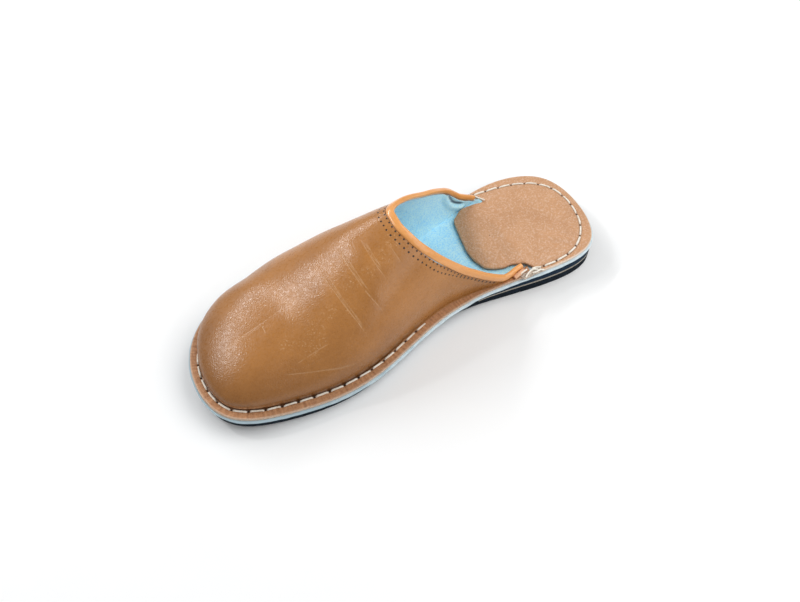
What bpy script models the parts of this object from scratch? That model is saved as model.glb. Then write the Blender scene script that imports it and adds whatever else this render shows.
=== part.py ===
"""Babouche slipper, right shoe: backless leather slipper with a stitched-out upper on a layered sole.

Frame: +X to the toe, +Y to the inner (medial) side, +Z up, origin under the middle of the sole.
All sizes are metres. "Along" is a share of LENGTH from the heel, "across" a share of BALL_WIDTH.
"""
import math
from collections import namedtuple

import bmesh
import bpy
import numpy as np

# Sole and last
LENGTH = 0.2774            # sole edge, heel to toe
BALL_WIDTH = 0.1074        # sole edge across the ball
INSTEP_RISE = 0.0590       # ridge of the upper over its flange, at the collar
TOE_SPRING = 0.0070        # lift of the outsole under the toe tip
ARCH_RISE = 0.0018         # lift of the outsole under the waist
OUTSOLE = 0.0058
HEEL_LAYER = 0.0010        # leather between outsole and wedge
WEDGE = 0.0056
MIDSOLE = 0.0018
INSOLE = 0.0012
UPPER_WALL = 0.0018
CLEARANCE = 0.0003         # between pieces that touch

# Insets from the sole edge
FLANGE_INSET = 0.0012
FEATHER_INSET = 0.0070     # foot of the upper's wall
FOLD = 0.0008              # width of the fold between wall and flange
OUTSOLE_INSET = 0.0016
WEDGE_INSET = 0.0004
INSOLE_PLAY = 0.0006       # insole edge to the inside of the upper

# Collar binding and heel pad
BINDING_WIDTH = 0.0050
BINDING_THICK = 0.0034
BINDING_GAP = 0.0004       # over the edge that it is sewn to
PAD_LEATHER = 0.0018
PAD_RISE = 0.0022          # filling of the pad over its stitched edge
PAD_SEAM = 0.0062          # sole edge to the pad's stitch line
PAD_SHOULDER = 0.0110      # width over which the pad rises
PAD_SLOPE = 0.0060         # length over which the pad climbs onto the insole
PAD_LAP = 0.0040           # the climb ends this far before the insole

# Places along the sole, as shares of LENGTH
POLE_ALONG = 0.74          # widest section, where the toe's fan starts
WEDGE_END = 0.36
LAYERS_END = 0.42          # from here on the midsole lies flat on the outsole
FLANGE_END = 0.222         # rear ends of the upper's flange
PAD_FLANGE_END = 0.198     # front ends of the pad's flange
INSOLE_END = 0.238
BINDING_ENDS = (0.246, 0.226)  # medial, lateral
PAD_AXIS = (0.125, 0.250)  # line on which the pad's filling closes

# Roundness of the upper's sections
PLAN_POWER = 2.34
RISE_POWER = 2.17
BINDING_POWER = 0.7        # below 1 is squarer than an ellipse

Edge = namedtuple("Edge", "along across")
OUTLINE = (
    Edge(0.000, 0.028),     # heel back
    Edge(0.050, 0.330),
    Edge(0.155, 0.377),     # heel, medial
    Edge(0.330, 0.324),     # waist, medial
    Edge(0.495, 0.367),
    Edge(0.662, 0.491),     # ball, medial
    Edge(0.865, 0.467),
    Edge(0.975, 0.338),
    Edge(1.000, 0.125),     # toe tip
    Edge(0.955, -0.222),
    Edge(0.850, -0.425),
    Edge(0.760, -0.495),    # ball, lateral
    Edge(0.582, -0.400),
    Edge(0.383, -0.322),    # waist, lateral
    Edge(0.150, -0.391),    # heel, lateral
    Edge(0.028, -0.270),
)

# Shares of ARCH_RISE, TOE_SPRING, HEEL_LAYER and WEDGE
Sole = namedtuple("Sole", "along arch spring layer wedge")
SOLE = (
    Sole(0.00, 0.00, 0.00, 1.00, 1.00),
    Sole(0.12, 0.00, 0.00, 1.00, 0.96),
    Sole(0.22, 0.00, 0.00, 1.00, 0.72),
    Sole(0.29, 0.05, 0.00, 0.85, 0.42),
    Sole(WEDGE_END, 0.65, 0.00, 0.50, 0.12),
    Sole(LAYERS_END, 1.00, 0.00, 0.00, 0.00),
    Sole(0.49, 0.40, 0.00, 0.00, 0.00),
    Sole(0.55, 0.00, 0.00, 0.00, 0.00),
    Sole(0.73, 0.00, 0.00, 0.00, 0.00),
    Sole(0.84, 0.00, 0.19, 0.00, 0.00),
    Sole(0.93, 0.00, 0.55, 0.00, 0.00),
    Sole(1.00, 0.00, 1.00, 0.00, 0.00),
)

# Shares of FEATHER_INSET and OUTSOLE_INSET on each side
Inset = namedtuple("Inset", "along feather_medial feather_lateral outsole_medial outsole_lateral")
INSETS = (
    Inset(0.00, 1.00, 1.00, 0.2, 0.2),
    Inset(0.22, 1.15, 0.92, 0.2, 0.2),
    Inset(0.25, 0.98, 0.76, 0.3, 0.3),
    Inset(0.28, 0.52, 0.72, 0.4, 0.4),
    Inset(0.31, 0.44, 0.74, 0.6, 0.6),
    Inset(0.34, 0.56, 0.82, 0.9, 0.9),
    Inset(0.38, 0.78, 0.94, 1.4, 1.3),
    Inset(0.44, 0.98, 1.00, 2.1, 1.8),
    Inset(0.56, 1.00, 1.00, 2.2, 1.9),
    Inset(0.72, 1.00, 1.00, 1.4, 1.4),
    Inset(0.85, 1.00, 1.00, 1.0, 1.0),
    Inset(1.00, 1.00, 1.00, 1.0, 1.0),
)

# Rise is a share of INSTEP_RISE, ridge a share of the way from lateral to medial foot, and
# medial and lateral are the shares by which each side swells at half height
Section = namedtuple("Section", "along rise ridge medial lateral")
SECTIONS = (
    Section(0.20, 1.10, 0.42, 0.05, 0.12),
    Section(0.35, 1.07, 0.42, 0.05, 0.12),
    Section(0.50, 1.04, 0.42, 0.05, 0.12),
    Section(0.60, 0.92, 0.43, 0.05, 0.09),
    Section(0.70, 0.67, 0.46, 0.04, 0.04),
    Section(0.80, 0.47, 0.50, 0.03, 0.02),
    Section(0.90, 0.42, 0.52, 0.03, 0.14),
    Section(1.00, 0.30, 0.52, 0.03, 0.00),
)

# Edge of the upper at the collar: turn is -1 at the lateral foot, 0 on the ridge, 1 at the medial foot
Collar = namedtuple("Collar", "turn along")
COLLAR = (
    Collar(-1.00, 0.246),
    Collar(-0.90, 0.272),
    Collar(-0.80, 0.306),
    Collar(-0.70, 0.342),
    Collar(-0.60, 0.379),
    Collar(-0.50, 0.417),
    Collar(-0.40, 0.453),
    Collar(-0.30, 0.483),
    Collar(-0.20, 0.504),
    Collar(-0.08, 0.517),
    Collar(0.08, 0.520),
    Collar(0.20, 0.513),
    Collar(0.34, 0.499),
    Collar(0.48, 0.476),
    Collar(0.62, 0.446),
    Collar(0.76, 0.406),
    Collar(0.90, 0.352),
    Collar(1.00, 0.294),
)

# Front of the heel pad, widths as shares of BALL_WIDTH
Tongue = namedtuple("Tongue", "along medial lateral")
TONGUE = (
    Tongue(0.204, 0.243, -0.284),
    Tongue(0.246, 0.243, -0.287),
    Tongue(0.268, 0.240, -0.280),
    Tongue(0.283, 0.222, -0.250),
    Tongue(0.296, 0.194, -0.212),
    Tongue(0.306, 0.158, -0.130),
    Tongue(0.314, 0.112, -0.040),
    Tongue(0.320, 0.060, 0.030),
)

# How finely the pieces are divided
LOOP_POINTS = 720
SOLE_STATIONS = 64
HEEL_STATIONS = 32
SIDE_STATIONS = 13
TOE_SPOKES = 22
TURNS = (0.0, 0.09, 0.18, 0.27, 0.37, 0.48, 0.59, 0.69, 0.79, 0.87, 0.94, 0.98, 1.0)
BINDING_STEPS = 60
BINDING_SIDES = 10
COLLAR_POINTS = 60
TAIL_POINTS = 5
PAD_STATIONS = 18
PAD_RINGS = (0.3, 1.4)     # shares of PAD_SHOULDER
SLOPE_STEP = 0.002
WELD = 0.000002
SHARP_ANGLE = 40

# Colours as sRGB hex, roughness
TAN_LEATHER = ("B9824F", 0.42)
BINDING_LEATHER = ("DB8D49", 0.30)
PAD_LEATHER_FINISH = ("C0875A", 0.55)
BLUE_SUEDE = ("96C6E6", 0.95)
WHITE_BOARD = ("E3EBEE", 0.70)
BLACK_RUBBER = ("23303A", 0.75)
LAYER_LEATHER = ("A98C70", 0.80)


def table(rows, column, along):
    """Read one column of a table at any place, on a curve that never overshoots its rows."""
    xs = np.array([row[0] for row in rows])
    ys = np.array([getattr(row, column) for row in rows])
    gaps = np.diff(xs)
    steps = np.diff(ys) / gaps
    slopes = np.zeros(len(xs))
    for i in range(1, len(xs) - 1):
        if steps[i - 1] * steps[i] > 0:
            slopes[i] = 2 * steps[i - 1] * steps[i] / (steps[i - 1] + steps[i])
    slopes[0] = steps[0]
    slopes[-1] = steps[-1]
    place = np.clip(np.asarray(along, float), xs[0], xs[-1])
    i = np.clip(np.searchsorted(xs, place, side="right") - 1, 0, len(gaps) - 1)
    u = (place - xs[i]) / gaps[i]
    rise = ys[i] * (1 + 2 * u) * (1 - u) ** 2 + ys[i + 1] * u * u * (3 - 2 * u)
    return rise + gaps[i] * (slopes[i] * u * (1 - u) ** 2 - slopes[i + 1] * u * u * (1 - u))


def closed_curve(points, count):
    """Smooth closed curve through the points, read at even steps."""
    points = np.array(points, float)
    total = len(points)
    gaps = np.linalg.norm(np.roll(points, -1, axis=0) - points, axis=1)
    matrix = np.zeros((total, total))
    pull = np.zeros((total, 2))
    for i in range(total):
        after = (i + 1) % total
        matrix[i, i - 1] += gaps[i - 1]
        matrix[i, i] += 2 * (gaps[i - 1] + gaps[i])
        matrix[i, after] += gaps[i]
        pull[i] = 6 * ((points[after] - points[i]) / gaps[i] - (points[i] - points[i - 1]) / gaps[i - 1])
    bend = np.linalg.solve(matrix, pull)
    starts = np.concatenate(([0.0], np.cumsum(gaps)))
    curve = []
    for place in np.linspace(0.0, starts[-1], count, endpoint=False):
        i = int(np.searchsorted(starts, place, side="right")) - 1
        after = (i + 1) % total
        a = place - starts[i]
        b = gaps[i] - a
        cubic = (bend[i] * b ** 3 + bend[after] * a ** 3) / (6 * gaps[i])
        line = (points[i] / gaps[i] - bend[i] * gaps[i] / 6) * b
        curve.append(cubic + line + (points[after] / gaps[i] - bend[after] * gaps[i] / 6) * a)
    return np.array(curve)


def along_of(x):
    return np.asarray(x) / LENGTH + 0.5


def x_of(along):
    return (along - 0.5) * LENGTH


SOLE_EDGE = closed_curve([(x_of(edge.along), edge.across * BALL_WIDTH) for edge in OUTLINE], LOOP_POINTS)


def inset(amounts):
    """Sole edge moved inwards by an amount, or by one amount for each of its points."""
    run = np.roll(SOLE_EDGE, -1, axis=0) - np.roll(SOLE_EDGE, 1, axis=0)
    run /= np.linalg.norm(run, axis=1)[:, None]
    inward = np.column_stack((run[:, 1], -run[:, 0]))
    return SOLE_EDGE + inward * np.broadcast_to(amounts, LOOP_POINTS)[:, None]


def side_inset(base, medial, lateral, more=0.0):
    """Inset of base times a share read from INSETS for the side that each edge point is on."""
    tip = int(SOLE_EDGE[:, 0].argmax())
    on_medial = np.arange(LOOP_POINTS) <= tip
    along = along_of(SOLE_EDGE[:, 0])
    shares = np.where(on_medial, table(INSETS, medial, along), table(INSETS, lateral, along))
    return inset(base * shares + more)


FLANGE_EDGE = inset(FLANGE_INSET)
FEATHER = side_inset(FEATHER_INSET, "feather_medial", "feather_lateral")
OUTSOLE_EDGE = side_inset(OUTSOLE_INSET, "outsole_medial", "outsole_lateral")
WEDGE_EDGE = inset(WEDGE_INSET)
INSOLE_EDGE = side_inset(FEATHER_INSET, "feather_medial", "feather_lateral", UPPER_WALL + INSOLE_PLAY)


def sides(loop, x):
    """Medial and lateral Y of a loop at one X."""
    heel = int(loop[:, 0].argmin())
    tip = int(loop[:, 0].argmax())
    turned = np.roll(loop, -heel, axis=0)
    reach = (tip - heel) % len(loop)
    medial = turned[:reach + 1]
    lateral = np.vstack((turned[reach:], turned[:1]))[::-1]
    return float(np.interp(x, medial[:, 0], medial[:, 1])), float(np.interp(x, lateral[:, 0], lateral[:, 1]))


def ground(x):
    along = along_of(x)
    return ARCH_RISE * table(SOLE, "arch", along) + TOE_SPRING * table(SOLE, "spring", along)


def outsole_top(x):
    return ground(x) + OUTSOLE


def layer_foot(x):
    return outsole_top(x) + CLEARANCE


def layer_top(x):
    return layer_foot(x) + HEEL_LAYER * table(SOLE, "layer", along_of(x))


def wedge_foot(x):
    return layer_top(x) + CLEARANCE


def wedge_top(x):
    return wedge_foot(x) + WEDGE * table(SOLE, "wedge", along_of(x))


def midsole_foot(x):
    """Underside of the midsole: on the wedge at the heel, on the outsole from the waist on."""
    if along_of(x) <= WEDGE_END:
        return wedge_top(x) + CLEARANCE
    return outsole_top(x) + CLEARANCE


def midsole_top(x):
    """Top of the midsole, one smooth line over the end of the wedge."""
    fade = np.clip((along_of(x) - WEDGE_END) / (LAYERS_END - WEDGE_END), 0.0, 1.0)
    fade = 1 - fade * fade * (3 - 2 * fade)
    lift = 2 * CLEARANCE + HEEL_LAYER * table(SOLE, "layer", along_of(x))
    lift += WEDGE * table(SOLE, "wedge", along_of(x))
    return outsole_top(x) + CLEARANCE + lift * fade + MIDSOLE


def flange_top(x):
    return midsole_top(x) + CLEARANCE + UPPER_WALL


def srgb(value):
    channel = value / 255
    return channel / 12.92 if channel <= 0.04045 else ((channel + 0.055) / 1.055) ** 2.4


def material(name, finish):
    colour, roughness = finish
    made = bpy.data.materials.new(name)
    made.use_nodes = True
    shader = made.node_tree.nodes["Principled BSDF"]
    channels = [srgb(int(colour[i:i + 2], 16)) for i in (0, 2, 4)]
    shader.inputs["Base Color"].default_value = (*channels, 1.0)
    shader.inputs["Roughness"].default_value = roughness
    shader.inputs["Metallic"].default_value = 0.0
    made.diffuse_color = (*channels, 1.0)
    return made


def solid(name, points, faces, finish):
    """Object from points and faces, with doubles welded and faces turned outwards."""
    mesh = bpy.data.meshes.new(name)
    mesh.from_pydata([tuple(point) for point in points], [], faces)
    mesh.materials.append(finish)
    body = bpy.data.objects.new(name, mesh)
    PARTS.objects.link(body)
    work = bmesh.new()
    work.from_mesh(mesh)
    bmesh.ops.remove_doubles(work, verts=work.verts, dist=WELD)
    bmesh.ops.recalc_face_normals(work, faces=work.faces)
    work.to_mesh(mesh)
    work.free()
    mesh.shade_smooth()
    mesh.set_sharp_from_angle(angle=math.radians(SHARP_ANGLE))
    return body


def slab(name, loop, stations, foot, top, finish):
    """Sole layer: one pair of edge points over another at each station along the shoe."""
    points = []
    faces = []
    for x in stations:
        medial, lateral = sides(loop, x)
        low = foot(x)
        high = top(x)
        points += [(x, medial, low), (x, lateral, low), (x, lateral, high), (x, medial, high)]
    for i in range(len(stations) - 1):
        a = 4 * i
        for k in range(4):
            n = (k + 1) % 4
            faces.append((a + k, a + n, a + 4 + n, a + 4 + k))
    faces.append((0, 1, 2, 3))
    last = 4 * (len(stations) - 1)
    faces.append((last, last + 3, last + 2, last + 1))
    return solid(name, points, faces, finish)


def whole_stations(loop, count):
    """Stations from heel to toe, closer together where the ends turn round."""
    start = loop[:, 0].min()
    stop = loop[:, 0].max()
    turn = np.linspace(0.0, math.pi, count + 1)
    return start + (stop - start) * (1 - np.cos(turn)) / 2


def heel_stations(loop, stop, count):
    start = loop[:, 0].min()
    turn = np.linspace(0.0, math.pi / 2, count + 1)
    return start + (stop - start) * (1 - np.cos(turn))


def toe_stations(loop, start, count):
    stop = loop[:, 0].max()
    turn = np.linspace(0.0, math.pi / 2, count + 1)
    return start + (stop - start) * np.sin(turn)


def ridge_y(x, medial, lateral):
    share = table(SECTIONS, "ridge", along_of(x))
    return share * medial + (1 - share) * lateral


def profile(turn, swell):
    """Share of the way out and of the way up, for a turn of 0 on the ridge to 1 at the foot."""
    angle = abs(turn) * math.pi / 2
    out = math.sin(angle) ** (2 / PLAN_POWER)
    up = max(math.cos(angle), 0.0) ** (2 / RISE_POWER)
    return out * (1 + swell * 4 * up * (1 - up)), up


def side_point(along, turn):
    """Point of the upper's outer face on a cross section."""
    x = x_of(along)
    medial, lateral = sides(FEATHER, x)
    ridge = ridge_y(x, medial, lateral)
    out, up = profile(turn, table(SECTIONS, "medial" if turn > 0 else "lateral", along))
    foot = medial if turn > 0 else lateral
    y = ridge + (foot - ridge) * out
    return np.array((x, y, flange_top(x) + INSTEP_RISE * table(SECTIONS, "rise", along) * up))


def toe_point(foot, turn):
    """Point of the upper's outer face between the pole and a point of the toe's foot line."""
    pole_x = x_of(POLE_ALONG)
    pole = np.array((pole_x, ridge_y(pole_x, *sides(FEATHER, pole_x))))
    heading = foot - pole
    share = 0.5 + 0.5 * heading[1] / np.linalg.norm(heading)
    along = along_of(foot[0])
    swell = share * table(SECTIONS, "medial", along) + (1 - share) * table(SECTIONS, "lateral", along)
    out, up = profile(turn, swell)
    x, y = pole + heading * out
    return np.array((x, y, flange_top(x) + INSTEP_RISE * table(SECTIONS, "rise", along_of(x)) * up))


def toe_feet():
    """Foot line round the toe, from the medial to the lateral end of the widest section."""
    x = x_of(POLE_ALONG)
    ahead = FEATHER[FEATHER[:, 0] > x]
    medial, lateral = sides(FEATHER, x)
    line = np.vstack(((x, medial), ahead, (x, lateral)))
    run = np.concatenate(([0.0], np.cumsum(np.linalg.norm(np.diff(line, axis=0), axis=1))))
    places = np.linspace(0.0, run[-1], TOE_SPOKES + 1)
    return np.column_stack((np.interp(places, run, line[:, 0]), np.interp(places, run, line[:, 1])))


def flange_point(foot):
    """Nearest point of the flange's edge, level with the flange at the foot."""
    edge = FLANGE_EDGE[np.linalg.norm(FLANGE_EDGE - foot, axis=1).argmin()]
    return np.array((edge[0], edge[1], flange_top(edge[0])))


def make_upper(finish):
    """Open outer face of the upper with its turned-out flange, given its wall by Solidify."""
    spokes = []
    for i in range(SIDE_STATIONS, -1, -1):
        share = i / SIDE_STATIONS
        spoke = []
        for turn in TURNS:
            edge = float(table(COLLAR, "along", turn))
            spoke.append(side_point(POLE_ALONG + (edge - POLE_ALONG) * share, turn))
        spokes.append(spoke)
    for foot in toe_feet()[1:-1]:
        spokes.append([toe_point(foot, turn) for turn in TURNS])
    for i in range(SIDE_STATIONS + 1):
        share = i / SIDE_STATIONS
        spoke = []
        for turn in TURNS:
            edge = float(table(COLLAR, "along", -turn))
            spoke.append(side_point(POLE_ALONG + (edge - POLE_ALONG) * share, -turn))
        spoke[0] = spokes[SIDE_STATIONS - i][0]
        spokes.append(spoke)
    points = []
    faces = []
    rows = len(TURNS)
    for spoke in spokes:
        points += spoke
    for i in range(len(spokes) - 1):
        for j in range(rows - 1):
            a = i * rows + j
            faces.append((a, a + rows, a + rows + 1, a + 1))
    feet = [spoke[-1][:2] for spoke in spokes]
    for start, side in ((COLLAR[-1].along, 0), (COLLAR[0].along, 1)):
        tail = []
        for along in np.linspace(start, FLANGE_END, TAIL_POINTS)[1:]:
            x = x_of(along)
            tail.append(np.array((x, sides(FEATHER, x)[side])))
        feet = tail[::-1] + feet if side == 0 else feet + tail
    first = len(points)
    for foot in feet:
        inner = np.array((foot[0], foot[1], flange_top(foot[0])))
        outer = flange_point(foot)
        fold = inner + (outer - inner) * FOLD / np.linalg.norm(outer - inner)
        points += [inner, fold, outer]
    for i in range(len(feet) - 1):
        for a in (first + 3 * i, first + 3 * i + 1):
            faces.append((a, a + 3, a + 4, a + 1))
    body = solid("upper", points, faces, finish)
    face_up(body)
    wall = body.modifiers.new("wall", "SOLIDIFY")
    wall.thickness = UPPER_WALL
    wall.offset = -1
    wall.use_rim = True
    return body


def face_up(body):
    """Turn an open face so that its flat rim looks up."""
    mesh = body.data
    low = min(mesh.polygons, key=lambda face: face.center.z)
    if low.normal.z < 0:
        mesh.flip_normals()


def binding_line():
    """Line that the binding stands on, with the face's outward and its own upward direction."""
    medial_end, lateral_end = BINDING_ENDS
    line = []
    for along in np.linspace(medial_end, COLLAR[-1].along, TAIL_POINTS)[:-1]:
        line.append((along, 1.0))
    for turn in np.linspace(1.0, -1.0, COLLAR_POINTS + 1):
        line.append((float(table(COLLAR, "along", turn)), turn))
    for along in np.linspace(COLLAR[0].along, lateral_end, TAIL_POINTS)[1:]:
        line.append((along, -1.0))
    return line


def outward(along, turn):
    """Outward direction of the upper's face, level at its foot."""
    inner = max(min(turn, 1 - SLOPE_STEP), SLOPE_STEP - 1)
    run = side_point(along + SLOPE_STEP, inner) - side_point(along - SLOPE_STEP, inner)
    rise = side_point(along, inner + SLOPE_STEP) - side_point(along, inner - SLOPE_STEP)
    normal = np.cross(run, rise)
    return normal / np.linalg.norm(normal)


def rounded(share):
    return math.copysign(abs(share) ** BINDING_POWER, share)


def make_binding(finish):
    """Rolled band on the upper's top edge, a rounded section swept along the collar."""
    line = binding_line()
    spine = np.array([side_point(along, turn) for along, turn in line])
    normals = np.array([outward(along, turn) for along, turn in line])
    run = np.gradient(spine, axis=0)
    run /= np.linalg.norm(run, axis=1)[:, None]
    lifts = np.cross(run, normals)
    lifts /= np.linalg.norm(lifts, axis=1)[:, None]
    length = np.concatenate(([0.0], np.cumsum(np.linalg.norm(np.diff(spine, axis=0), axis=1))))
    places = np.linspace(0.0, length[-1], BINDING_STEPS + 1)
    rings = []
    for values in (spine, normals, lifts):
        rings.append(np.column_stack([np.interp(places, length, values[:, k]) for k in range(3)]))
    points = []
    faces = []
    for foot, normal, lift in zip(*rings):
        centre = foot + lift * (BINDING_GAP + BINDING_WIDTH / 2) - normal * UPPER_WALL / 2
        for k in range(BINDING_SIDES):
            angle = 2 * math.pi * (k + 0.5) / BINDING_SIDES
            up = rounded(math.sin(angle)) * BINDING_WIDTH / 2
            out = rounded(math.cos(angle)) * BINDING_THICK / 2
            points.append(centre + lift * up + normal * out)
    for i in range(BINDING_STEPS):
        for k in range(BINDING_SIDES):
            n = (k + 1) % BINDING_SIDES
            a = i * BINDING_SIDES
            faces.append((a + k, a + n, a + BINDING_SIDES + n, a + BINDING_SIDES + k))
    faces.append(tuple(range(BINDING_SIDES)))
    faces.append(tuple(BINDING_STEPS * BINDING_SIDES + k for k in reversed(range(BINDING_SIDES))))
    return solid("collar_binding", points, faces, finish)


def pad_loop():
    """Plan of the heel pad: flange edge round the heel, then the tongue that reaches forward."""
    stop = x_of(PAD_FLANGE_END)
    heel = heel_stations(FLANGE_EDGE, stop, PAD_STATIONS)
    medial = [(x, sides(FLANGE_EDGE, x)[0]) for x in heel]
    lateral = [(x, sides(FLANGE_EDGE, x)[1]) for x in heel]
    front = [(x_of(row.along), row.medial * BALL_WIDTH) for row in TONGUE]
    back = [(x_of(row.along), row.lateral * BALL_WIDTH) for row in reversed(TONGUE)]
    return np.array(medial + front + back + lateral[:0:-1])


def make_pad(finish):
    """Filled leather pad: flat at its stitched flange, rising inside the stitch line."""
    loop = pad_loop()
    axis_start = x_of(PAD_AXIS[0])
    axis_stop = x_of(PAD_AXIS[1])
    seam = PAD_SEAM - FLANGE_INSET
    depths = (0.0, seam, seam + PAD_SHOULDER * PAD_RINGS[0], PAD_SHOULDER * PAD_RINGS[1])
    points = []
    faces = []
    rows = len(depths) + 1
    for plan in loop:
        x = min(max(plan[0], axis_start), axis_stop)
        medial, lateral = sides(FLANGE_EDGE, x)
        axis = np.array((x, (medial + lateral) / 2))
        reach = np.linalg.norm(plan - axis)
        spots = [plan + (axis - plan) * min(depth / reach, 1.0) for depth in depths] + [axis]
        for depth, spot in zip((*depths, reach), spots):
            points.append((spot[0], spot[1], pad_top(spot, depth)))
        for spot in spots:
            points.append((spot[0], spot[1], pad_foot(spot[0])))
    total = len(loop)
    for i in range(total):
        a = 2 * rows * i
        b = 2 * rows * ((i + 1) % total)
        for j in range(rows - 1):
            faces.append((a + j, b + j, b + j + 1, a + j + 1))
            faces.append((a + rows + j, a + rows + j + 1, b + rows + j + 1, b + rows + j))
        faces.append((a, a + rows, b + rows, b))
    return solid("heel_pad", points, faces, finish)


def pad_foot(x):
    """Underside of the pad: on the midsole at the heel, on the insole further forward."""
    climb = (x - x_of(INSOLE_END) + PAD_LAP + PAD_SLOPE) / PAD_SLOPE
    climb = min(max(climb, 0.0), 1.0)
    return midsole_top(x) + CLEARANCE + climb * (INSOLE + 2 * CLEARANCE)


def pad_top(spot, depth):
    """Top of the pad at a depth in from its edge."""
    seam = PAD_SEAM - FLANGE_INSET
    share = min(max((depth - seam) / PAD_SHOULDER, 0.0), 1.0)
    if spot[0] > x_of(PAD_FLANGE_END):
        share = min(depth / PAD_SHOULDER, 1.0)
    swell = math.sin(share * math.pi / 2)
    return pad_foot(spot[0]) + PAD_LEATHER + PAD_RISE * swell


def insole_foot(x):
    return midsole_top(x) + CLEARANCE


def insole_top(x):
    return insole_foot(x) + INSOLE


def midsole_stations():
    """Stations of the midsole, with a pair at the end of the wedge where its underside steps down."""
    stations = whole_stations(SOLE_EDGE, SOLE_STATIONS)
    end = x_of(WEDGE_END)
    return np.sort(np.append(stations, (end, end + CLEARANCE)))


def build():
    """Make every piece of the slipper."""
    heel = heel_stations(WEDGE_EDGE, x_of(WEDGE_END), HEEL_STATIONS)
    slab("outsole", OUTSOLE_EDGE, whole_stations(OUTSOLE_EDGE, SOLE_STATIONS), ground, outsole_top,
         material("black_rubber", BLACK_RUBBER))
    slab("heel_layer", WEDGE_EDGE, heel, layer_foot, layer_top, material("layer_leather", LAYER_LEATHER))
    slab("heel_wedge", WEDGE_EDGE, heel, wedge_foot, wedge_top, material("wedge_rubber", BLACK_RUBBER))
    slab("midsole", SOLE_EDGE, midsole_stations(), midsole_foot, midsole_top,
         material("white_board", WHITE_BOARD))
    slab("insole", INSOLE_EDGE, toe_stations(INSOLE_EDGE, x_of(INSOLE_END), SOLE_STATIONS),
         insole_foot, insole_top, material("blue_suede", BLUE_SUEDE))
    make_upper(material("tan_leather", TAN_LEATHER))
    make_binding(material("binding_leather", BINDING_LEATHER))
    make_pad(material("pad_leather", PAD_LEATHER_FINISH))


for old in list(bpy.data.objects):
    bpy.data.objects.remove(old, do_unlink=True)
PARTS = bpy.data.collections.new("babouche_slipper")
bpy.context.scene.collection.children.link(PARTS)
build()
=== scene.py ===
"""Looks of the babouche slipper (right shoe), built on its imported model.

Frame: +X to the toe, +Y to the inner (medial) side, +Z up, metres.
"Along" is a share of the sole's length from the heel, "turn" runs over the vamp from -1 at the
lateral foot, 0 on the ridge, to 1 at the medial foot.
"""
import math
import random
from collections import namedtuple

import bmesh
import bpy
import numpy as np
from mathutils import Matrix, Vector, noise


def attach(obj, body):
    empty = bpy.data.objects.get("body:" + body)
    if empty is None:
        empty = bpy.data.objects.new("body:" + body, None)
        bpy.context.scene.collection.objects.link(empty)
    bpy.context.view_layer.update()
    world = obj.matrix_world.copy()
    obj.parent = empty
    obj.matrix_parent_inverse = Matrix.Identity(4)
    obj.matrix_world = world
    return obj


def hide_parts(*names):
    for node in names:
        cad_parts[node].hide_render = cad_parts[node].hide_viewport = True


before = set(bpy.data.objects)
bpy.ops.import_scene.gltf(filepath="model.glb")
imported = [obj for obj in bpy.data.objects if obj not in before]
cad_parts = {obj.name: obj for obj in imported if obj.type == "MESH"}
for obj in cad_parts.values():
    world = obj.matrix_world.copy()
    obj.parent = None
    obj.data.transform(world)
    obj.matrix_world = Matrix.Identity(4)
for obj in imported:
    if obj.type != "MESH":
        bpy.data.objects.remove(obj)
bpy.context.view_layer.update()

bl_info = {
    "name": "Babouche slipper",
    "version": (1, 0, 0),
    "blender": (4, 5, 0),
    "location": "3D View > Sidebar > Slipper",
    "description": "Dresses the packed slipper with leather, suede, stitches and a photo stage",
    "category": "Object",
}

MM = 0.001

# The shoe's own form, as in its solids
Edge = namedtuple("Edge", "along across")
OUTLINE = (
    Edge(0.000, 0.028), Edge(0.050, 0.330), Edge(0.155, 0.377), Edge(0.330, 0.324),
    Edge(0.495, 0.367), Edge(0.662, 0.491), Edge(0.865, 0.467), Edge(0.975, 0.338),
    Edge(1.000, 0.125), Edge(0.955, -0.222), Edge(0.850, -0.425), Edge(0.760, -0.495),
    Edge(0.582, -0.400), Edge(0.383, -0.322), Edge(0.150, -0.391), Edge(0.028, -0.270),
)
Sole = namedtuple("Sole", "along arch spring layer wedge")
SOLE = (
    Sole(0.00, 0.00, 0.00, 1.00, 1.00), Sole(0.12, 0.00, 0.00, 1.00, 0.96),
    Sole(0.22, 0.00, 0.00, 1.00, 0.72), Sole(0.29, 0.05, 0.00, 0.85, 0.42),
    Sole(0.36, 0.65, 0.00, 0.50, 0.12), Sole(0.42, 1.00, 0.00, 0.00, 0.00),
    Sole(0.49, 0.40, 0.00, 0.00, 0.00), Sole(0.55, 0.00, 0.00, 0.00, 0.00),
    Sole(0.73, 0.00, 0.00, 0.00, 0.00), Sole(0.84, 0.00, 0.19, 0.00, 0.00),
    Sole(0.93, 0.00, 0.55, 0.00, 0.00), Sole(1.00, 0.00, 1.00, 0.00, 0.00),
)
Inset = namedtuple("Inset", "along feather_medial feather_lateral outsole_medial outsole_lateral")
INSETS = (
    Inset(0.00, 1.00, 1.00, 0.2, 0.2), Inset(0.22, 1.15, 0.92, 0.2, 0.2),
    Inset(0.25, 0.98, 0.76, 0.3, 0.3), Inset(0.28, 0.52, 0.72, 0.4, 0.4),
    Inset(0.31, 0.44, 0.74, 0.6, 0.6), Inset(0.34, 0.56, 0.82, 0.9, 0.9),
    Inset(0.38, 0.78, 0.94, 1.4, 1.3), Inset(0.44, 0.98, 1.00, 2.1, 1.8),
    Inset(0.56, 1.00, 1.00, 2.2, 1.9), Inset(0.72, 1.00, 1.00, 1.4, 1.4),
    Inset(0.85, 1.00, 1.00, 1.0, 1.0), Inset(1.00, 1.00, 1.00, 1.0, 1.0),
)
Section = namedtuple("Section", "along rise ridge medial lateral")
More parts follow.
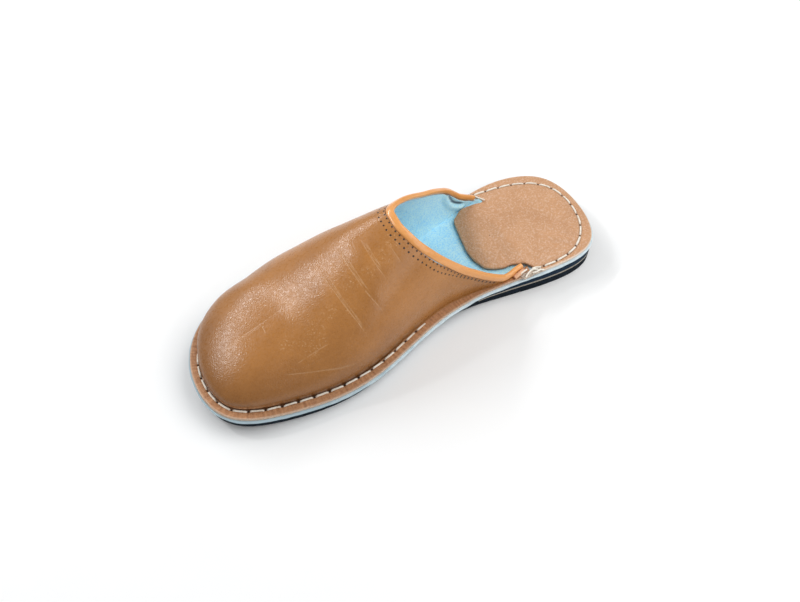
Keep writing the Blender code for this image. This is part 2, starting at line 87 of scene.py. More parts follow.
SECTIONS = (
    Section(0.20, 1.10, 0.42, 0.05, 0.12), Section(0.35, 1.07, 0.42, 0.05, 0.12),
    Section(0.50, 1.04, 0.42, 0.05, 0.12), Section(0.60, 0.92, 0.43, 0.05, 0.09),
    Section(0.70, 0.67, 0.46, 0.04, 0.04), Section(0.80, 0.47, 0.50, 0.03, 0.02),
    Section(0.90, 0.42, 0.52, 0.03, 0.14), Section(1.00, 0.30, 0.52, 0.03, 0.00),
)
Collar = namedtuple("Collar", "turn along")
COLLAR = (
    Collar(-1.00, 0.222), Collar(-0.97, 0.245), Collar(-0.93, 0.266), Collar(-0.87, 0.285),
    Collar(-0.80, 0.306), Collar(-0.70, 0.342),
    Collar(-0.60, 0.379), Collar(-0.50, 0.417), Collar(-0.40, 0.453), Collar(-0.30, 0.483),
    Collar(-0.20, 0.504), Collar(-0.08, 0.517), Collar(0.08, 0.520), Collar(0.20, 0.513),
    Collar(0.34, 0.499), Collar(0.48, 0.476), Collar(0.62, 0.446), Collar(0.76, 0.406),
    Collar(0.90, 0.352), Collar(1.00, 0.294),
)
# Seam of the heel and front edge of its pad, points in plan (mm), lateral end first
HEEL_SEAM = (
    (-80.0, -37.6), (-90.0, -36.2), (-99.9, -34.4), (-110.4, -31.5), (-121.2, -26.4), (-129.4, -17.6),
    (-132.6, -6.3), (-132.2, 4.8), (-128.6, 17.0), (-122.6, 25.8), (-115.4, 31.8), (-108.2, 35.0),
    (-100.1, 36.4), (-92.1, 36.5), (-86.0, 35.8), (-82.6, 35.4),
)
TONGUE = (
    (-79.3, -40.3), (-83.0, -31.2), (-81.5, -29.4), (-78.6, -29.2), (-73.4, -29.8), (-68.5, -30.5),
    (-64.6, -30.0), (-61.0, -27.8), (-56.6, -24.3), (-53.9, -15.0), (-51.8, -5.6), (-50.3, 2.0),
    (-50.3, 9.0), (-51.8, 14.6), (-53.1, 18.0), (-56.3, 20.9), (-60.8, 23.3), (-64.2, 24.5),
    (-68.2, 24.8), (-71.8, 26.3), (-76.0, 28.0), (-79.8, 32.5), (-82.4, 37.9),
)
POLE_ALONG = 0.74
WEDGE_END = 0.36
LAYERS_END = 0.42
FLANGE_ENDS = (0.222, 0.216)  # medial, lateral
BINDING_END = 0.236  # medial
INSOLE_END = 0.238
# Line on which the pad's filling closes: X of that line (mm) for places on the pad's edge (mm)
Spoke = namedtuple("Spoke", "x y axis")
PAD_SPOKES = (
    Spoke(-104.0, 38.0, -104.0), Spoke(-82.4, 37.9, -97.0), Spoke(-79.8, 32.5, -93.0), Spoke(-60.8, 23.3, -69.0),
    Spoke(-61.0, -27.8, -69.0), Spoke(-83.0, -31.2, -92.0), Spoke(-79.3, -40.3, -97.0), Spoke(-104.0, -41.0, -104.0),
)
PLAN_POWER = 2.34
RISE_POWER = 2.17
BINDING_POWER = 0.7

# How far the vamp's stitches lie outside the foot of the wall (mm)
Seam = namedtuple("Seam", "along out")
SEAM = (
    Seam(0.22, 1.0), Seam(0.50, 1.2), Seam(0.61, 1.4), Seam(0.70, 0.8), Seam(0.79, 0.6), Seam(0.85, 0.8),
    Seam(0.92, 1.0), Seam(0.96, 1.4), Seam(1.00, 1.9),
)

# Creases pressed into the vamp: points in plan (mm), half width and depth (mm), and how pale the
# worn line on top of it is
Crease = namedtuple("Crease", "points width depth pale")
CREASES = (
    Crease(((51.0, -2.0), (49.9, 11.3), (48.1, 24.5), (45.1, 35.2), (42.3, 41.6)), 1.6, 0.17, 0.9),
    Crease(((48.1, 1.7), (48.0, 14.9), (46.4, 26.2), (43.1, 37.3)), 1.0, -0.07, 0.7),
    Crease(((36.5, -8.8), (37.2, 5.6), (36.3, 16.9), (34.4, 26.2), (29.2, 36.6)), 1.6, 0.18, 0.8),
    Crease(((35.2, -5.5), (35.4, 7.0), (34.6, 18.6), (33.1, 26.3)), 1.0, -0.07, 0.8),
    Crease(((24.6, -3.0), (24.5, 9.4), (23.6, 17.2), (21.6, 24.8)), 1.4, 0.13, 0.7),
    Crease(((22.9, 1.9), (22.8, 11.2), (21.8, 18.6)), 0.9, -0.06, 0.9),
    Crease(((12.9, 8.7), (11.6, 15.3), (10.0, 21.4)), 1.2, 0.09, 0.5),
    Crease(((123.9, 6.3), (109.0, 5.4), (92.3, 3.6), (75.3, 1.4), (55.6, 1.1)), 1.3, 0.05, 0.40),
    Crease(((120.0, 7.6), (105.1, 6.4), (89.5, 4.9)), 0.9, -0.03, 0.30),
    Crease(((85.7, 34.1), (77.4, 33.8), (69.8, 33.9), (63.7, 34.4)), 1.0, 0.07, 0.7),
    Crease(((94.6, 35.4), (85.1, 38.7), (74.5, 42.2), (63.7, 45.4), (52.9, 46.5)), 1.1, 0.08, 0.7),
    Crease(((92.1, 5.0), (92.3, 10.9)), 0.8, 0.06, 0.8),
)
# Rubbed places on the vamp: centre in plan (mm), radius (mm)
Rub = namedtuple("Rub", "x y radius")
RUBS = (
    Rub(68.0, 24.0, 9.0), Rub(74.0, 30.0, 10.0), Rub(57.0, 21.0, 7.0), Rub(41.0, 16.0, 7.0),
    Rub(29.0, 16.0, 6.0), Rub(17.0, 13.0, 8.0), Rub(84.0, 22.0, 8.0), Rub(46.0, 26.0, 6.0),
    Rub(9.4, 8.9, 7.0), Rub(3.6, 4.4, 6.0), Rub(69.0, 31.0, 7.0),
)
# Pucker of the lining at the lateral end of the collar, points in mm
LINING_FOLD = (
    (-56.0, -32.0, 34.0), (-56.8, -32.3, 31.0), (-59.5, -32.7, 25.5), (-63.0, -33.1, 22.0), (-67.0, -33.2, 19.5),
)
# Soft rolls and hollows of the vamp: centre in plan (mm), heading (degrees from +X), half length
# and half width (mm), height (mm)
Roll = namedtuple("Roll", "x y heading length width height")
ROLLS = (
    Roll(40.0, 20.0, 88.0, 16.0, 6.0, -0.10),
    Roll(22.0, 16.0, 86.0, 14.0, 5.0, -0.08),
    Roll(100.0, 26.0, -28.0, 16.0, 8.0, -0.10),
    Roll(89.0, -27.0, 15.0, 13.0, 14.0, 0.90),
    Roll(111.0, -27.0, 40.0, 10.0, 12.0, -0.90),
)
# The same for the wrinkles of the heel pad
WRINKLES = (
    Roll(-100.0, 24.0, -35.0, 14.0, 2.2, -1.08), Roll(-108.0, 20.0, -40.0, 12.0, 2.0, -0.95),
    Roll(-116.0, 14.0, -52.0, 11.0, 2.0, -0.95), Roll(-90.0, 26.0, -30.0, 11.0, 2.0, -0.71),
    Roll(-104.0, 22.0, -36.0, 13.0, 1.8, 0.83), Roll(-112.0, 17.0, -46.0, 12.0, 1.8, 0.71),
    Roll(-88.0, -16.0, 20.0, 16.0, 3.0, -0.71), Roll(-104.0, -8.0, 35.0, 16.0, 3.0, -0.71),
    Roll(-70.0, 4.0, 80.0, 22.0, 5.0, -0.83),
)

# The photo's camera: azimuth, elevation and roll (degrees), the place it looks at and how far off it is
CAMERA_TURNS = (148.54, 54.01, -2.0)
CAMERA_TARGET = (0.00127, 0.00547, 0.0)
CAMERA_AWAY = 0.50895

# Fineness of the meshes
LOOP_POINTS = 1440
SOLE_STATIONS = 150
SIDE_STATIONS = 100
TOE_SPOKES = 120
VAMP_TURNS = 84
BINDING_STEPS = 420
BINDING_SIDES = 24
SEED = 7


def table(rows, column, along):
    """Read one column of a table at any place, on a curve that never overshoots its rows."""
    xs = np.array([row[0] for row in rows])
    ys = np.array([getattr(row, column) for row in rows])
    gaps = np.diff(xs)
    steps = np.diff(ys) / gaps
    slopes = np.zeros(len(xs))
    for i in range(1, len(xs) - 1):
        if steps[i - 1] * steps[i] > 0:
            slopes[i] = 2 * steps[i - 1] * steps[i] / (steps[i - 1] + steps[i])
    slopes[0] = steps[0]
    slopes[-1] = steps[-1]
    place = np.clip(np.asarray(along, float), xs[0], xs[-1])
    i = np.clip(np.searchsorted(xs, place, side="right") - 1, 0, len(gaps) - 1)
    u = (place - xs[i]) / gaps[i]
    rise = ys[i] * (1 + 2 * u) * (1 - u) ** 2 + ys[i + 1] * u * u * (3 - 2 * u)
    return rise + gaps[i] * (slopes[i] * u * (1 - u) ** 2 - slopes[i + 1] * u * u * (1 - u))


def smooth(low, high, value):
    share = np.clip((np.asarray(value, float) - low) / (high - low), 0.0, 1.0)
    return share * share * (3 - 2 * share)


def closed_curve(points, count):
    """Smooth closed curve through the points, read at even steps."""
    points = np.array(points, float)
    total = len(points)
    gaps = np.linalg.norm(np.roll(points, -1, axis=0) - points, axis=1)
    matrix = np.zeros((total, total))
    pull = np.zeros((total, 2))
    for i in range(total):
        after = (i + 1) % total
        matrix[i, i - 1] += gaps[i - 1]
        matrix[i, i] += 2 * (gaps[i - 1] + gaps[i])
        matrix[i, after] += gaps[i]
        pull[i] = 6 * ((points[after] - points[i]) / gaps[i] - (points[i] - points[i - 1]) / gaps[i - 1])
    bend = np.linalg.solve(matrix, pull)
    starts = np.concatenate(([0.0], np.cumsum(gaps)))
    curve = []
    for place in np.linspace(0.0, starts[-1], count, endpoint=False):
        i = int(np.searchsorted(starts, place, side="right")) - 1
        after = (i + 1) % total
        a = place - starts[i]
        b = gaps[i] - a
        cubic = (bend[i] * b ** 3 + bend[after] * a ** 3) / (6 * gaps[i])
        line = (points[i] / gaps[i] - bend[i] * gaps[i] / 6) * b
        curve.append(cubic + line + (points[after] / gaps[i] - bend[after] * gaps[i] / 6) * a)
    return np.array(curve)


def run_of(line):
    """Distance travelled along a line at each of its points."""
    return np.concatenate(([0.0], np.cumsum(np.linalg.norm(np.diff(line, axis=0), axis=1))))


def even(line, count):
    """The same line read at even steps."""
    run = run_of(line)
    places = np.linspace(0.0, run[-1], count)
    return np.column_stack([np.interp(places, run, line[:, k]) for k in range(line.shape[1])])


def rounded_line(points, count):
    """Curve through a few points, by the Catmull-Rom rule."""
    points = np.array(points, float)
    ends = np.vstack((2 * points[0] - points[1], points, 2 * points[-1] - points[-2]))
    curve = []
    for place in np.linspace(0.0, len(points) - 1, count):
        i = min(int(place), len(points) - 2)
        t = place - i
        a, b, c, d = ends[i:i + 4]
        curve.append(0.5 * (2 * b + (c - a) * t + (2 * a - 5 * b + 4 * c - d) * t * t
                            + (3 * b - a - 3 * c + d) * t ** 3))
    return np.array(curve)


def near_line(points, line):
    """For each point: distance to a line, run along it at the nearest place, and the side (sign, in plan)."""
    starts = line[:-1]
    spans = np.diff(line, axis=0)
    lengths = (spans ** 2).sum(axis=1)
    run = run_of(line)
    away = np.empty(len(points))
    places = np.empty(len(points))
    side = np.empty(len(points))
    for first in range(0, len(points), 2000):
        part = points[first:first + 2000]
        rel = part[:, None, :] - starts[None]
        share = np.clip((rel * spans).sum(axis=2) / lengths, 0.0, 1.0)
        gap = rel - share[:, :, None] * spans
        far = (gap ** 2).sum(axis=2)
        best = far.argmin(axis=1)
        rows = np.arange(len(part))
        away[first:first + 2000] = np.sqrt(far[rows, best])
        places[first:first + 2000] = run[best] + share[rows, best] * np.sqrt(lengths[best])
        cross = spans[best, 0] * gap[rows, best, 1] - spans[best, 1] * gap[rows, best, 0]
        side[first:first + 2000] = np.sign(cross)
    return away, places, side


def within(points, loop):
    """Whether each plan point lies inside a closed loop."""
    crossings = np.zeros(len(points), int)
    for (x0, y0), (x1, y1) in zip(loop, np.roll(loop, -1, axis=0)):
        if y0 != y1:
            at = (x1 - x0) * (points[:, 1] - y0) / (y1 - y0) + x0
            crossings += ((y0 > points[:, 1]) != (y1 > points[:, 1])) & (points[:, 0] < at)
    return crossings % 2 == 1


class Last:
    """The slipper's form, worked out from its sizes."""

    def __init__(self, sizes):
        self.sizes = sizes
        outline = [(self.x_of(edge.along), edge.across * sizes.ball_width) for edge in OUTLINE]
        self.edge = closed_curve(outline, LOOP_POINTS)
        run = np.roll(self.edge, -1, axis=0) - np.roll(self.edge, 1, axis=0)
        run /= np.linalg.norm(run, axis=1)[:, None]
        self.inward = np.column_stack((run[:, 1], -run[:, 0]))
        self.flange = self.inset(sizes.flange_inset)
        self.feather = self.side_inset(sizes.feather_inset, "feather_medial", "feather_lateral")
        self.outsole = self.side_inset(sizes.outsole_inset, "outsole_medial", "outsole_lateral")
        self.wedge = self.inset(sizes.wedge_inset)
        self.insole = self.side_inset(sizes.feather_inset, "feather_medial", "feather_lateral",
                                      sizes.wall + sizes.insole_play)

    def x_of(self, along):
        return (np.asarray(along) - 0.5) * self.sizes.length

    def along_of(self, x):
        return np.asarray(x) / self.sizes.length + 0.5

    def inset(self, amounts):
        return self.edge + self.inward * np.broadcast_to(amounts, LOOP_POINTS)[:, None]

    def side_inset(self, base, medial, lateral, more=0.0):
        tip = int(self.edge[:, 0].argmax())
        on_medial = np.arange(LOOP_POINTS) <= tip
        along = self.along_of(self.edge[:, 0])
        shares = np.where(on_medial, table(INSETS, medial, along), table(INSETS, lateral, along))
        return self.inset(base * shares + more)

    def sides(self, loop, x):
        """Medial and lateral Y of a loop at each X."""
        heel = int(loop[:, 0].argmin())
        tip = int(loop[:, 0].argmax())
        turned = np.roll(loop, -heel, axis=0)
        reach = (tip - heel) % len(loop)
        medial = turned[:reach + 1]
        lateral = np.vstack((turned[reach:], turned[:1]))[::-1]
        return np.interp(x, medial[:, 0], medial[:, 1]), np.interp(x, lateral[:, 0], lateral[:, 1])

    def ground(self, x):
        along = self.along_of(x)
        return (self.sizes.arch_rise * table(SOLE, "arch", along)
                + self.sizes.toe_spring * table(SOLE, "spring", along))

    def outsole_top(self, x):
        return self.ground(x) + self.sizes.outsole_thick

    def layer_foot(self, x):
        return self.outsole_top(x) + self.sizes.clearance

    def layer_top(self, x):
        return self.layer_foot(x) + self.sizes.layer_thick * table(SOLE, "layer", self.along_of(x))

    def wedge_foot(self, x):
        return self.layer_top(x) + self.sizes.clearance

    def wedge_top(self, x):
        return self.wedge_foot(x) + self.sizes.wedge_thick * table(SOLE, "wedge", self.along_of(x))

    def midsole_top(self, x):
        along = self.along_of(x)
        fade = 1 - smooth(WEDGE_END, LAYERS_END, along)
        lift = 2 * self.sizes.clearance + self.sizes.layer_thick * table(SOLE, "layer", along)
        lift = lift + self.sizes.wedge_thick * table(SOLE, "wedge", along)
        return self.outsole_top(x) + self.sizes.clearance + lift * fade + self.sizes.midsole_thick

    def midsole_foot(self, x):
        return self.midsole_top(x) - self.sizes.midsole_thick

    def flange_top(self, x):
        return self.midsole_top(x) + self.sizes.clearance + self.sizes.wall

    def insole_top(self, x):
        return self.midsole_top(x) + self.sizes.clearance + self.sizes.insole_thick

    def profile(self, turn, swell):
        angle = np.abs(turn) * math.pi / 2
        out = np.sin(angle) ** (2 / PLAN_POWER)
        up = np.maximum(np.cos(angle), 0.0) ** (2 / RISE_POWER)
        return out * (1 + swell * 4 * up * (1 - up)), up

    def face(self, along, turn):
        """Points of the vamp's outer face on cross sections."""
        along, turn = np.broadcast_arrays(np.asarray(along, float), np.asarray(turn, float))
        x = self.x_of(along)
        medial, lateral = self.sides(self.feather, x)
        share = table(SECTIONS, "ridge", along)
        ridge = share * medial + (1 - share) * lateral
        swell = np.where(turn > 0, table(SECTIONS, "medial", along), table(SECTIONS, "lateral", along))
        out, up = self.profile(turn, swell)
        foot = np.where(turn > 0, medial, lateral)
        z = self.flange_top(x) + self.sizes.instep_rise * table(SECTIONS, "rise", along) * up
        return np.stack((x, ridge + (foot - ridge) * out, z), axis=-1)

    def toe_face(self, turns):
        """Points of the vamp's outer face round the toe, on spokes from the pole to the foot line."""
        x = self.x_of(POLE_ALONG)
        medial, lateral = self.sides(self.feather, x)
        ahead = self.feather[self.feather[:, 0] > x]
        feet = even(np.vstack(((x, medial), ahead, (x, lateral))), TOE_SPOKES + 1)[1:-1]
        share = table(SECTIONS, "ridge", POLE_ALONG)
        pole = np.array((x, share * medial + (1 - share) * lateral))
        heading = feet - pole
        lean = 0.5 + 0.5 * heading[:, 1] / np.linalg.norm(heading, axis=1)
        along = self.along_of(feet[:, 0])
        swell = lean * table(SECTIONS, "medial", along) + (1 - lean) * table(SECTIONS, "lateral", along)
        out, up = self.profile(turns[None, :], swell[:, None])
        plan = pole + heading[:, None, :] * out[:, :, None]
        rise = table(SECTIONS, "rise", self.along_of(plan[:, :, 0]))
        z = self.flange_top(plan[:, :, 0]) + self.sizes.instep_rise * rise * up
        return np.concatenate((plan, z[:, :, None]), axis=2)

    def collar_line(self, count):
        """Cut edge of the vamp at the collar, from the medial to the lateral foot."""
        turns = np.linspace(1.0, -1.0, count)
        return self.face(table(COLLAR, "along", turns), turns)

    def outward(self, along, turn):
        """Outward direction of the vamp's face."""
        step = 0.002
        inner = np.clip(turn, step - 1, 1 - step)
        run = self.face(along + step, inner) - self.face(along - step, inner)
        rise = self.face(along, inner + step) - self.face(along, inner - step)
        normal = np.cross(run, rise)
        return normal / np.linalg.norm(normal, axis=-1)[..., None]

    def pad_foot(self, plan):
        """Underside of the pad: on the midsole at the heel and the flange, on the insole at the tongue."""
        x, y = plan[:, 0], plan[:, 1]
        slope = self.sizes.pad_slope
        climb = np.clip((x - self.x_of(INSOLE_END) + self.sizes.pad_lap + slope) / slope, 0.0, 1.0)
        climb *= 1 - smooth(0.0305, 0.0335, np.abs(y))
        lift = self.sizes.insole_thick + 2 * self.sizes.clearance
        return self.midsole_top(x) + self.sizes.clearance + climb * lift

    def pad_loop(self):
        """Edge of the heel pad: flange round the heel, then the tongue that reaches forward."""
        front = rounded_line(np.array(TONGUE[::-1]) * MM, 300)
        tip = int(self.flange[:, 0].argmax())
        medial = self.flange[:tip]
        lateral = self.flange[tip:]
        return np.vstack((medial[medial[:, 0] < front[0, 0]], front, lateral[lateral[:, 0] < front[-1, 0]]))

    def seam_line(self):
        """Stitch line of the vamp, medial rear end round the toe to the lateral rear end."""
        x = self.x_of(FLANGE_ENDS[0] + 0.006)
        out = table(SEAM, "out", self.along_of(self.feather[:, 0])) * MM
        return self.open_part(self.feather - self.inward * out[:, None], x, False)

    def heel_seam_line(self):
        return rounded_line(np.array(HEEL_SEAM) * MM, 400)

    def open_part(self, loop, x, behind):
        """Part of a loop ahead of (or behind) an X, as one line from medial to lateral."""
        medial, lateral = self.sides(loop, x)
        if behind:
            tip = int(loop[:, 0].argmax())
            turned = np.roll(loop, -tip, axis=0)[::-1]
            middle = turned[turned[:, 0] < x]
        else:
            heel = int(loop[:, 0].argmin())
            turned = np.roll(loop, -heel, axis=0)
            middle = turned[turned[:, 0] > x]
        return np.vstack(((x, medial), middle, (x, lateral)))


def hex_colour(code):
    """sRGB hex to the linear values that Blender works in."""
    channels = []
    for i in (0, 2, 4):
        value = int(code[i:i + 2], 16) / 255
        channels.append(value / 12.92 if value <= 0.04045 else ((value + 0.055) / 1.055) ** 2.4)
    return (*channels, 1.0)


# Outputs that count, where that isn't a node's first: mixed colour, number of a mark, object coordinates
OUTPUTS = {"MIX": 2, "ATTRIBUTE": 2, "TEX_COORD": 3}


def add(tree, kind, inputs=(), **settings):
    """Add a node with its settings. Inputs are values, sockets or nodes, by name or in the node's order."""
    node = tree.nodes.new("ShaderNode" + kind)
    for key, value in settings.items():
        setattr(node, key, value)
    for key, value in (inputs if isinstance(inputs, dict) else dict(enumerate(inputs))).items():
        if isinstance(value, bpy.types.Node):
            value = value.outputs[OUTPUTS.get(value.type, 0)]
        if isinstance(value, bpy.types.NodeSocket):
            tree.links.new(value, node.inputs[key])
        else:
            node.inputs[key].default_value = value
    return node


def new_material(name, roughness):
    """A material, its tree and shader, and the node that gives places on the piece."""
    made = bpy.data.materials.new(name)
    made.use_nodes = True
    tree = made.node_tree
    shader = tree.nodes["Principled BSDF"]
    shader.inputs["Roughness"].default_value = roughness
    shader.inputs["IOR"].default_value = 1.5
    return made, tree, shader, add(tree, "TexCoord")


def leather_tree(tree, place, colours, light, dark, relief, speckle=0.0, grain_mm=1.5):
    """Colour and relief that every leather here shares: blotches, pebbled grain and fine pores.
    The pebbles are drawn about twice their real size, because finer ones would be lost at this distance."""
    blotch = add(tree, "TexNoise", {"Vector": place, "Scale": 1 / (22 * MM), "Detail": 4.0, "Roughness": 0.6})
    fine = add(tree, "TexNoise", {"Vector": place, "Scale": 1 / (1.6 * MM), "Detail": 3.0, "Roughness": 0.6})
    share = add(tree, "Math", (fine, 0.35), operation="MULTIPLY")
    share = add(tree, "Math", (blotch, 0.75, share), operation="MULTIPLY_ADD")
    share = add(tree, "MapRange", (share, 0.35, 0.75))
    colour = add(tree, "Mix", {0: share, 6: dark, 7: light}, data_type="RGBA")
    dust = add(tree, "TexNoise", {"Vector": place, "Scale": 1 / (1.15 * MM), "Detail": 2.0, "Roughness": 0.6})
    dust = add(tree, "MapRange", (dust, 0.48, 0.66, 0.0, speckle))
    colour = add(tree, "Mix", {0: dust, 6: colour, 7: colours.leather_dust}, data_type="RGBA")
    bend = add(tree, "TexNoise", {"Vector": place, "Scale": 1 / (2.5 * MM), "Detail": 2.0})
    shift = add(tree, "VectorMath", (bend.outputs["Color"], (0.8 * MM,) * 3), operation="MULTIPLY")
    bent = add(tree, "VectorMath", (place, shift), operation="ADD")
    pebble = add(tree, "TexVoronoi", {"Vector": bent, "Scale": 1 / (grain_mm * MM)}, feature="DISTANCE_TO_EDGE")
    pebble = add(tree, "MapRange", (pebble, 0.0, 0.28), interpolation_type="SMOOTHSTEP")
    pore = add(tree, "TexNoise", {"Vector": place, "Scale": 1 / (0.45 * MM), "Detail": 2.0})
    height = add(tree, "Math", (pore, 0.45, pebble), operation="MULTIPLY_ADD")
    wrinkle = add(tree, "TexNoise", {"Vector": place, "Scale": 1 / (3.2 * MM), "Detail": 3.0, "Distortion": 0.8})
    height = add(tree, "Math", (wrinkle, 2.6, height), operation="MULTIPLY_ADD")
    return colour, add(tree, "Bump", {"Strength": relief, "Distance": 0.3 * MM, "Height": height})


def round_holes(tree, run, row, pitch, core, rim):
    """1 in the round holes along a line, a pitch apart, and 0 round them. Radii and places in mm."""
    beat = add(tree, "Math", (run, pitch / MM / 2), operation="PINGPONG")
    spot = add(tree, "CombineXYZ", (beat, row))
    away = add(tree, "VectorMath", (spot,), operation="LENGTH").outputs["Value"]
    return add(tree, "MapRange", (away, core, rim, 1.0, 0.0), interpolation_type="SMOOTHSTEP")


def painted_groove_shade(tree, away, core, rim, depth):
    """Painted shade in the groove that the hand stitches pull, from 0 to its depth of shade. Radii and places in mm.
    """
    away = add(tree, "Math", (away,), operation="ABSOLUTE")
    return add(tree, "MapRange", (away, core, rim, depth, 0.0), interpolation_type="SMOOTHSTEP")


def vamp_leather(colours):
    """Cattle leather, drum dyed tan with a semi-gloss finish: fine pebbled grain that breaks the
    highlights into specks, paler lines where it has creased, needle and awl holes."""
    made, tree, shader, place = new_material("tan_vamp_leather", 0.40)
    sizes = colours.id_data.slipper_sizes
    colour, bump = leather_tree(tree, place, colours, colours.vamp_light, colours.vamp_dark, 0.15)
    flange, crease, pale, rub, painted_foot_shade, rim, run, row_one, row_two, awl_run, awl_in = (
        add(tree, "Attribute", attribute_name=name)
        for name in ("flange", "crease", "crease_pale", "rub", "painted_foot_shade", "rim",
                     "needle_run", "needle_one", "needle_two", "awl_run", "awl_in"))
    # worn line along each crease, broken up by the grain
    line = add(tree, "Math", (crease,), operation="ABSOLUTE")
    line = add(tree, "MapRange", (line, 0.05, 0.40, 1.0, 0.0), interpolation_type="SMOOTHSTEP")
    broken = add(tree, "TexNoise", {"Vector": place, "Scale": 1 / (3.0 * MM), "Detail": 4.0, "Roughness": 0.7})
    broken = add(tree, "MapRange", (broken, 0.30, 0.55))
    line = add(tree, "Math", (line, pale), operation="MULTIPLY")
    line = add(tree, "Math", (line, broken), operation="MULTIPLY")
    # rubbed specks
    specks = add(tree, "TexNoise", {"Vector": place, "Scale": 1 / (1.1 * MM), "Detail": 2.0, "Roughness": 0.8})
    specks = add(tree, "MapRange", (specks, 0.56, 0.68))
    specks = add(tree, "Math", (specks, rub), operation="MULTIPLY")
    worn = add(tree, "Math", (line, specks), operation="MAXIMUM")
    worn = add(tree, "Math", (worn, 0.5), operation="MULTIPLY")
    colour = add(tree, "Mix", {0: worn, 6: colour, 7: colours.worn}, data_type="RGBA")
    # flange, trodden and scraped: pinker and rougher, ribbed along the seam
    scraped = add(tree, "TexNoise", {"Vector": place, "Scale": 1 / (1.3 * MM), "Detail": 5.0, "Roughness": 0.75})
    along = add(tree, "CombineXYZ", (awl_run,))
    ribs = add(tree, "TexNoise", {"Vector": along, "Scale": 0.55, "Detail": 1.0})
    scraped = add(tree, "Math", (ribs, 0.8, scraped), operation="MULTIPLY_ADD")
    scraped = add(tree, "MapRange", (scraped, 0.68, 1.10))
    rough_tan = add(tree, "Mix", {0: scraped, 6: colours.flange_dark, 7: colours.flange_light}, data_type="RGBA")
    colour = add(tree, "Mix", {0: flange, 6: colour, 7: rough_tan}, data_type="RGBA")
    # painted shade: darker down to the welt and towards the toe, where shade falls at the foot of the wall
    kept = add(tree, "Math", (1.0, flange), operation="SUBTRACT")
    painted_foot_shade = add(tree, "Math", (painted_foot_shade, kept), operation="MULTIPLY")
    colour = add(tree, "Mix", {0: painted_foot_shade, 6: colour, 7: colours.painted_foot_shade}, data_type="RGBA")
    colour = add(tree, "Mix", {0: rim, 6: colour, 7: colours.raw_light}, data_type="RGBA")
    # needle holes of the collar in two rows, and awl holes of the hand stitches, painted dark as shade in the holes,
    # with painted shade in the stitches' groove
    holes = [round_holes(tree, run, row, sizes.needle_pitch, 0.46, 0.66) for row in (row_one, row_two)]
    needle = add(tree, "Math", holes, operation="MAXIMUM")
    awl = round_holes(tree, awl_run, awl_in, sizes.stitch_pitch, 0.35, 0.85)
    dark = add(tree, "Math", (needle, awl), operation="MAXIMUM")
    shade = add(tree, "Math", (dark, painted_groove_shade(tree, awl_in, 0.2, 0.9, 0.45)), operation="MAXIMUM")
    colour = add(tree, "Mix", {0: shade, 6: colour, 7: colours.hole_and_groove_shade}, data_type="RGBA")
    tree.links.new(colour.outputs[2], shader.inputs["Base Color"])
    gloss = add(tree, "TexNoise", {"Vector": place, "Scale": 1 / (1.8 * MM), "Detail": 2.0, "Roughness": 0.7})
    gloss = add(tree, "MapRange", (gloss, 0.35, 0.65, 0.22, 0.44))
    gloss = add(tree, "Math", (flange, 0.28, gloss), operation="MULTIPLY_ADD")
    gloss = add(tree, "Math", (dark, 0.3, gloss), operation="MULTIPLY_ADD")
    tree.links.new(gloss.outputs[0], shader.inputs["Roughness"])
    sunk = add(tree, "Math", (dark, -1.0), operation="MULTIPLY")
    sunk = add(tree, "Math", (line, -0.35, sunk), operation="MULTIPLY_ADD")
    scrape = add(tree, "Math", (scraped, flange), operation="MULTIPLY")
    sunk = add(tree, "Math", (scrape, 0.5, sunk), operation="MULTIPLY_ADD")
    pressed = add(tree, "Bump", {"Strength": 0.7, "Distance": 0.3 * MM, "Height": sunk, "Normal": bump})
    tree.links.new(pressed.outputs[0], shader.inputs["Normal"])
    tree.links.new(pressed.outputs[0], shader.inputs["Coat Normal"])
    shader.inputs["Specular IOR Level"].default_value = 0.42
    shader.inputs["Coat Weight"].default_value = 0.20
    shader.inputs["Coat Roughness"].default_value = 0.17
    return made


def binding_leather(colours):
    """Thin calf, glazed to a high gloss and rolled: smooth, orange tan, bright highlights."""
    made, tree, shader, place = new_material("glazed_binding_leather", 0.30)
    colour, bump = leather_tree(tree, place, colours, colours.binding_light, colours.binding_dark, 0.10,
                                grain_mm=1.6)
    tree.links.new(colour.outputs[2], shader.inputs["Base Color"])
    tree.links.new(bump.outputs[0], shader.inputs["Normal"])
    shader.inputs["Coat Weight"].default_value = 0.5
    shader.inputs["Coat Roughness"].default_value = 0.12
    return made


def pad_leather(colours):
    """Soft drummed sheepskin over filling: satin, pinkish tan, clear pebbles."""
    made, tree, shader, place = new_material("soft_pad_leather", 0.48)
    colour, bump = leather_tree(tree, place, colours, colours.pad_light, colours.pad_dark, 0.45, speckle=0.38)
    awl_run, awl_in, edge, rim = (add(tree, "Attribute", attribute_name=name)
                                  for name in ("awl_run", "awl_in", "dark_tongue_edge", "rim"))
    awl = round_holes(tree, awl_run, awl_in, colours.id_data.slipper_sizes.stitch_pitch, 0.35, 0.85)
    # painted shade inside the awl holes and in the groove that the stitches pull
    shade = add(tree, "Math", (awl, painted_groove_shade(tree, awl_in, 0.3, 1.6, 0.35)), operation="MAXIMUM")
    # the tongue's edge darker towards its foot
    for share, tint in ((shade, colours.hole_and_groove_shade), (edge, colours.dark_tongue_edge), (rim, colours.raw_light)):
        colour = add(tree, "Mix", {0: share, 6: colour, 7: tint}, data_type="RGBA")
    tree.links.new(colour.outputs[2], shader.inputs["Base Color"])
    sunk = add(tree, "Math", (awl, -1.0), operation="MULTIPLY")
    pressed = add(tree, "Bump", {"Strength": 0.7, "Distance": 0.3 * MM, "Height": sunk, "Normal": bump})
    tree.links.new(pressed.outputs[0], shader.inputs["Normal"])
    shader.inputs["Coat Weight"].default_value = 0.08
    shader.inputs["Coat Roughness"].default_value = 0.35
    return made


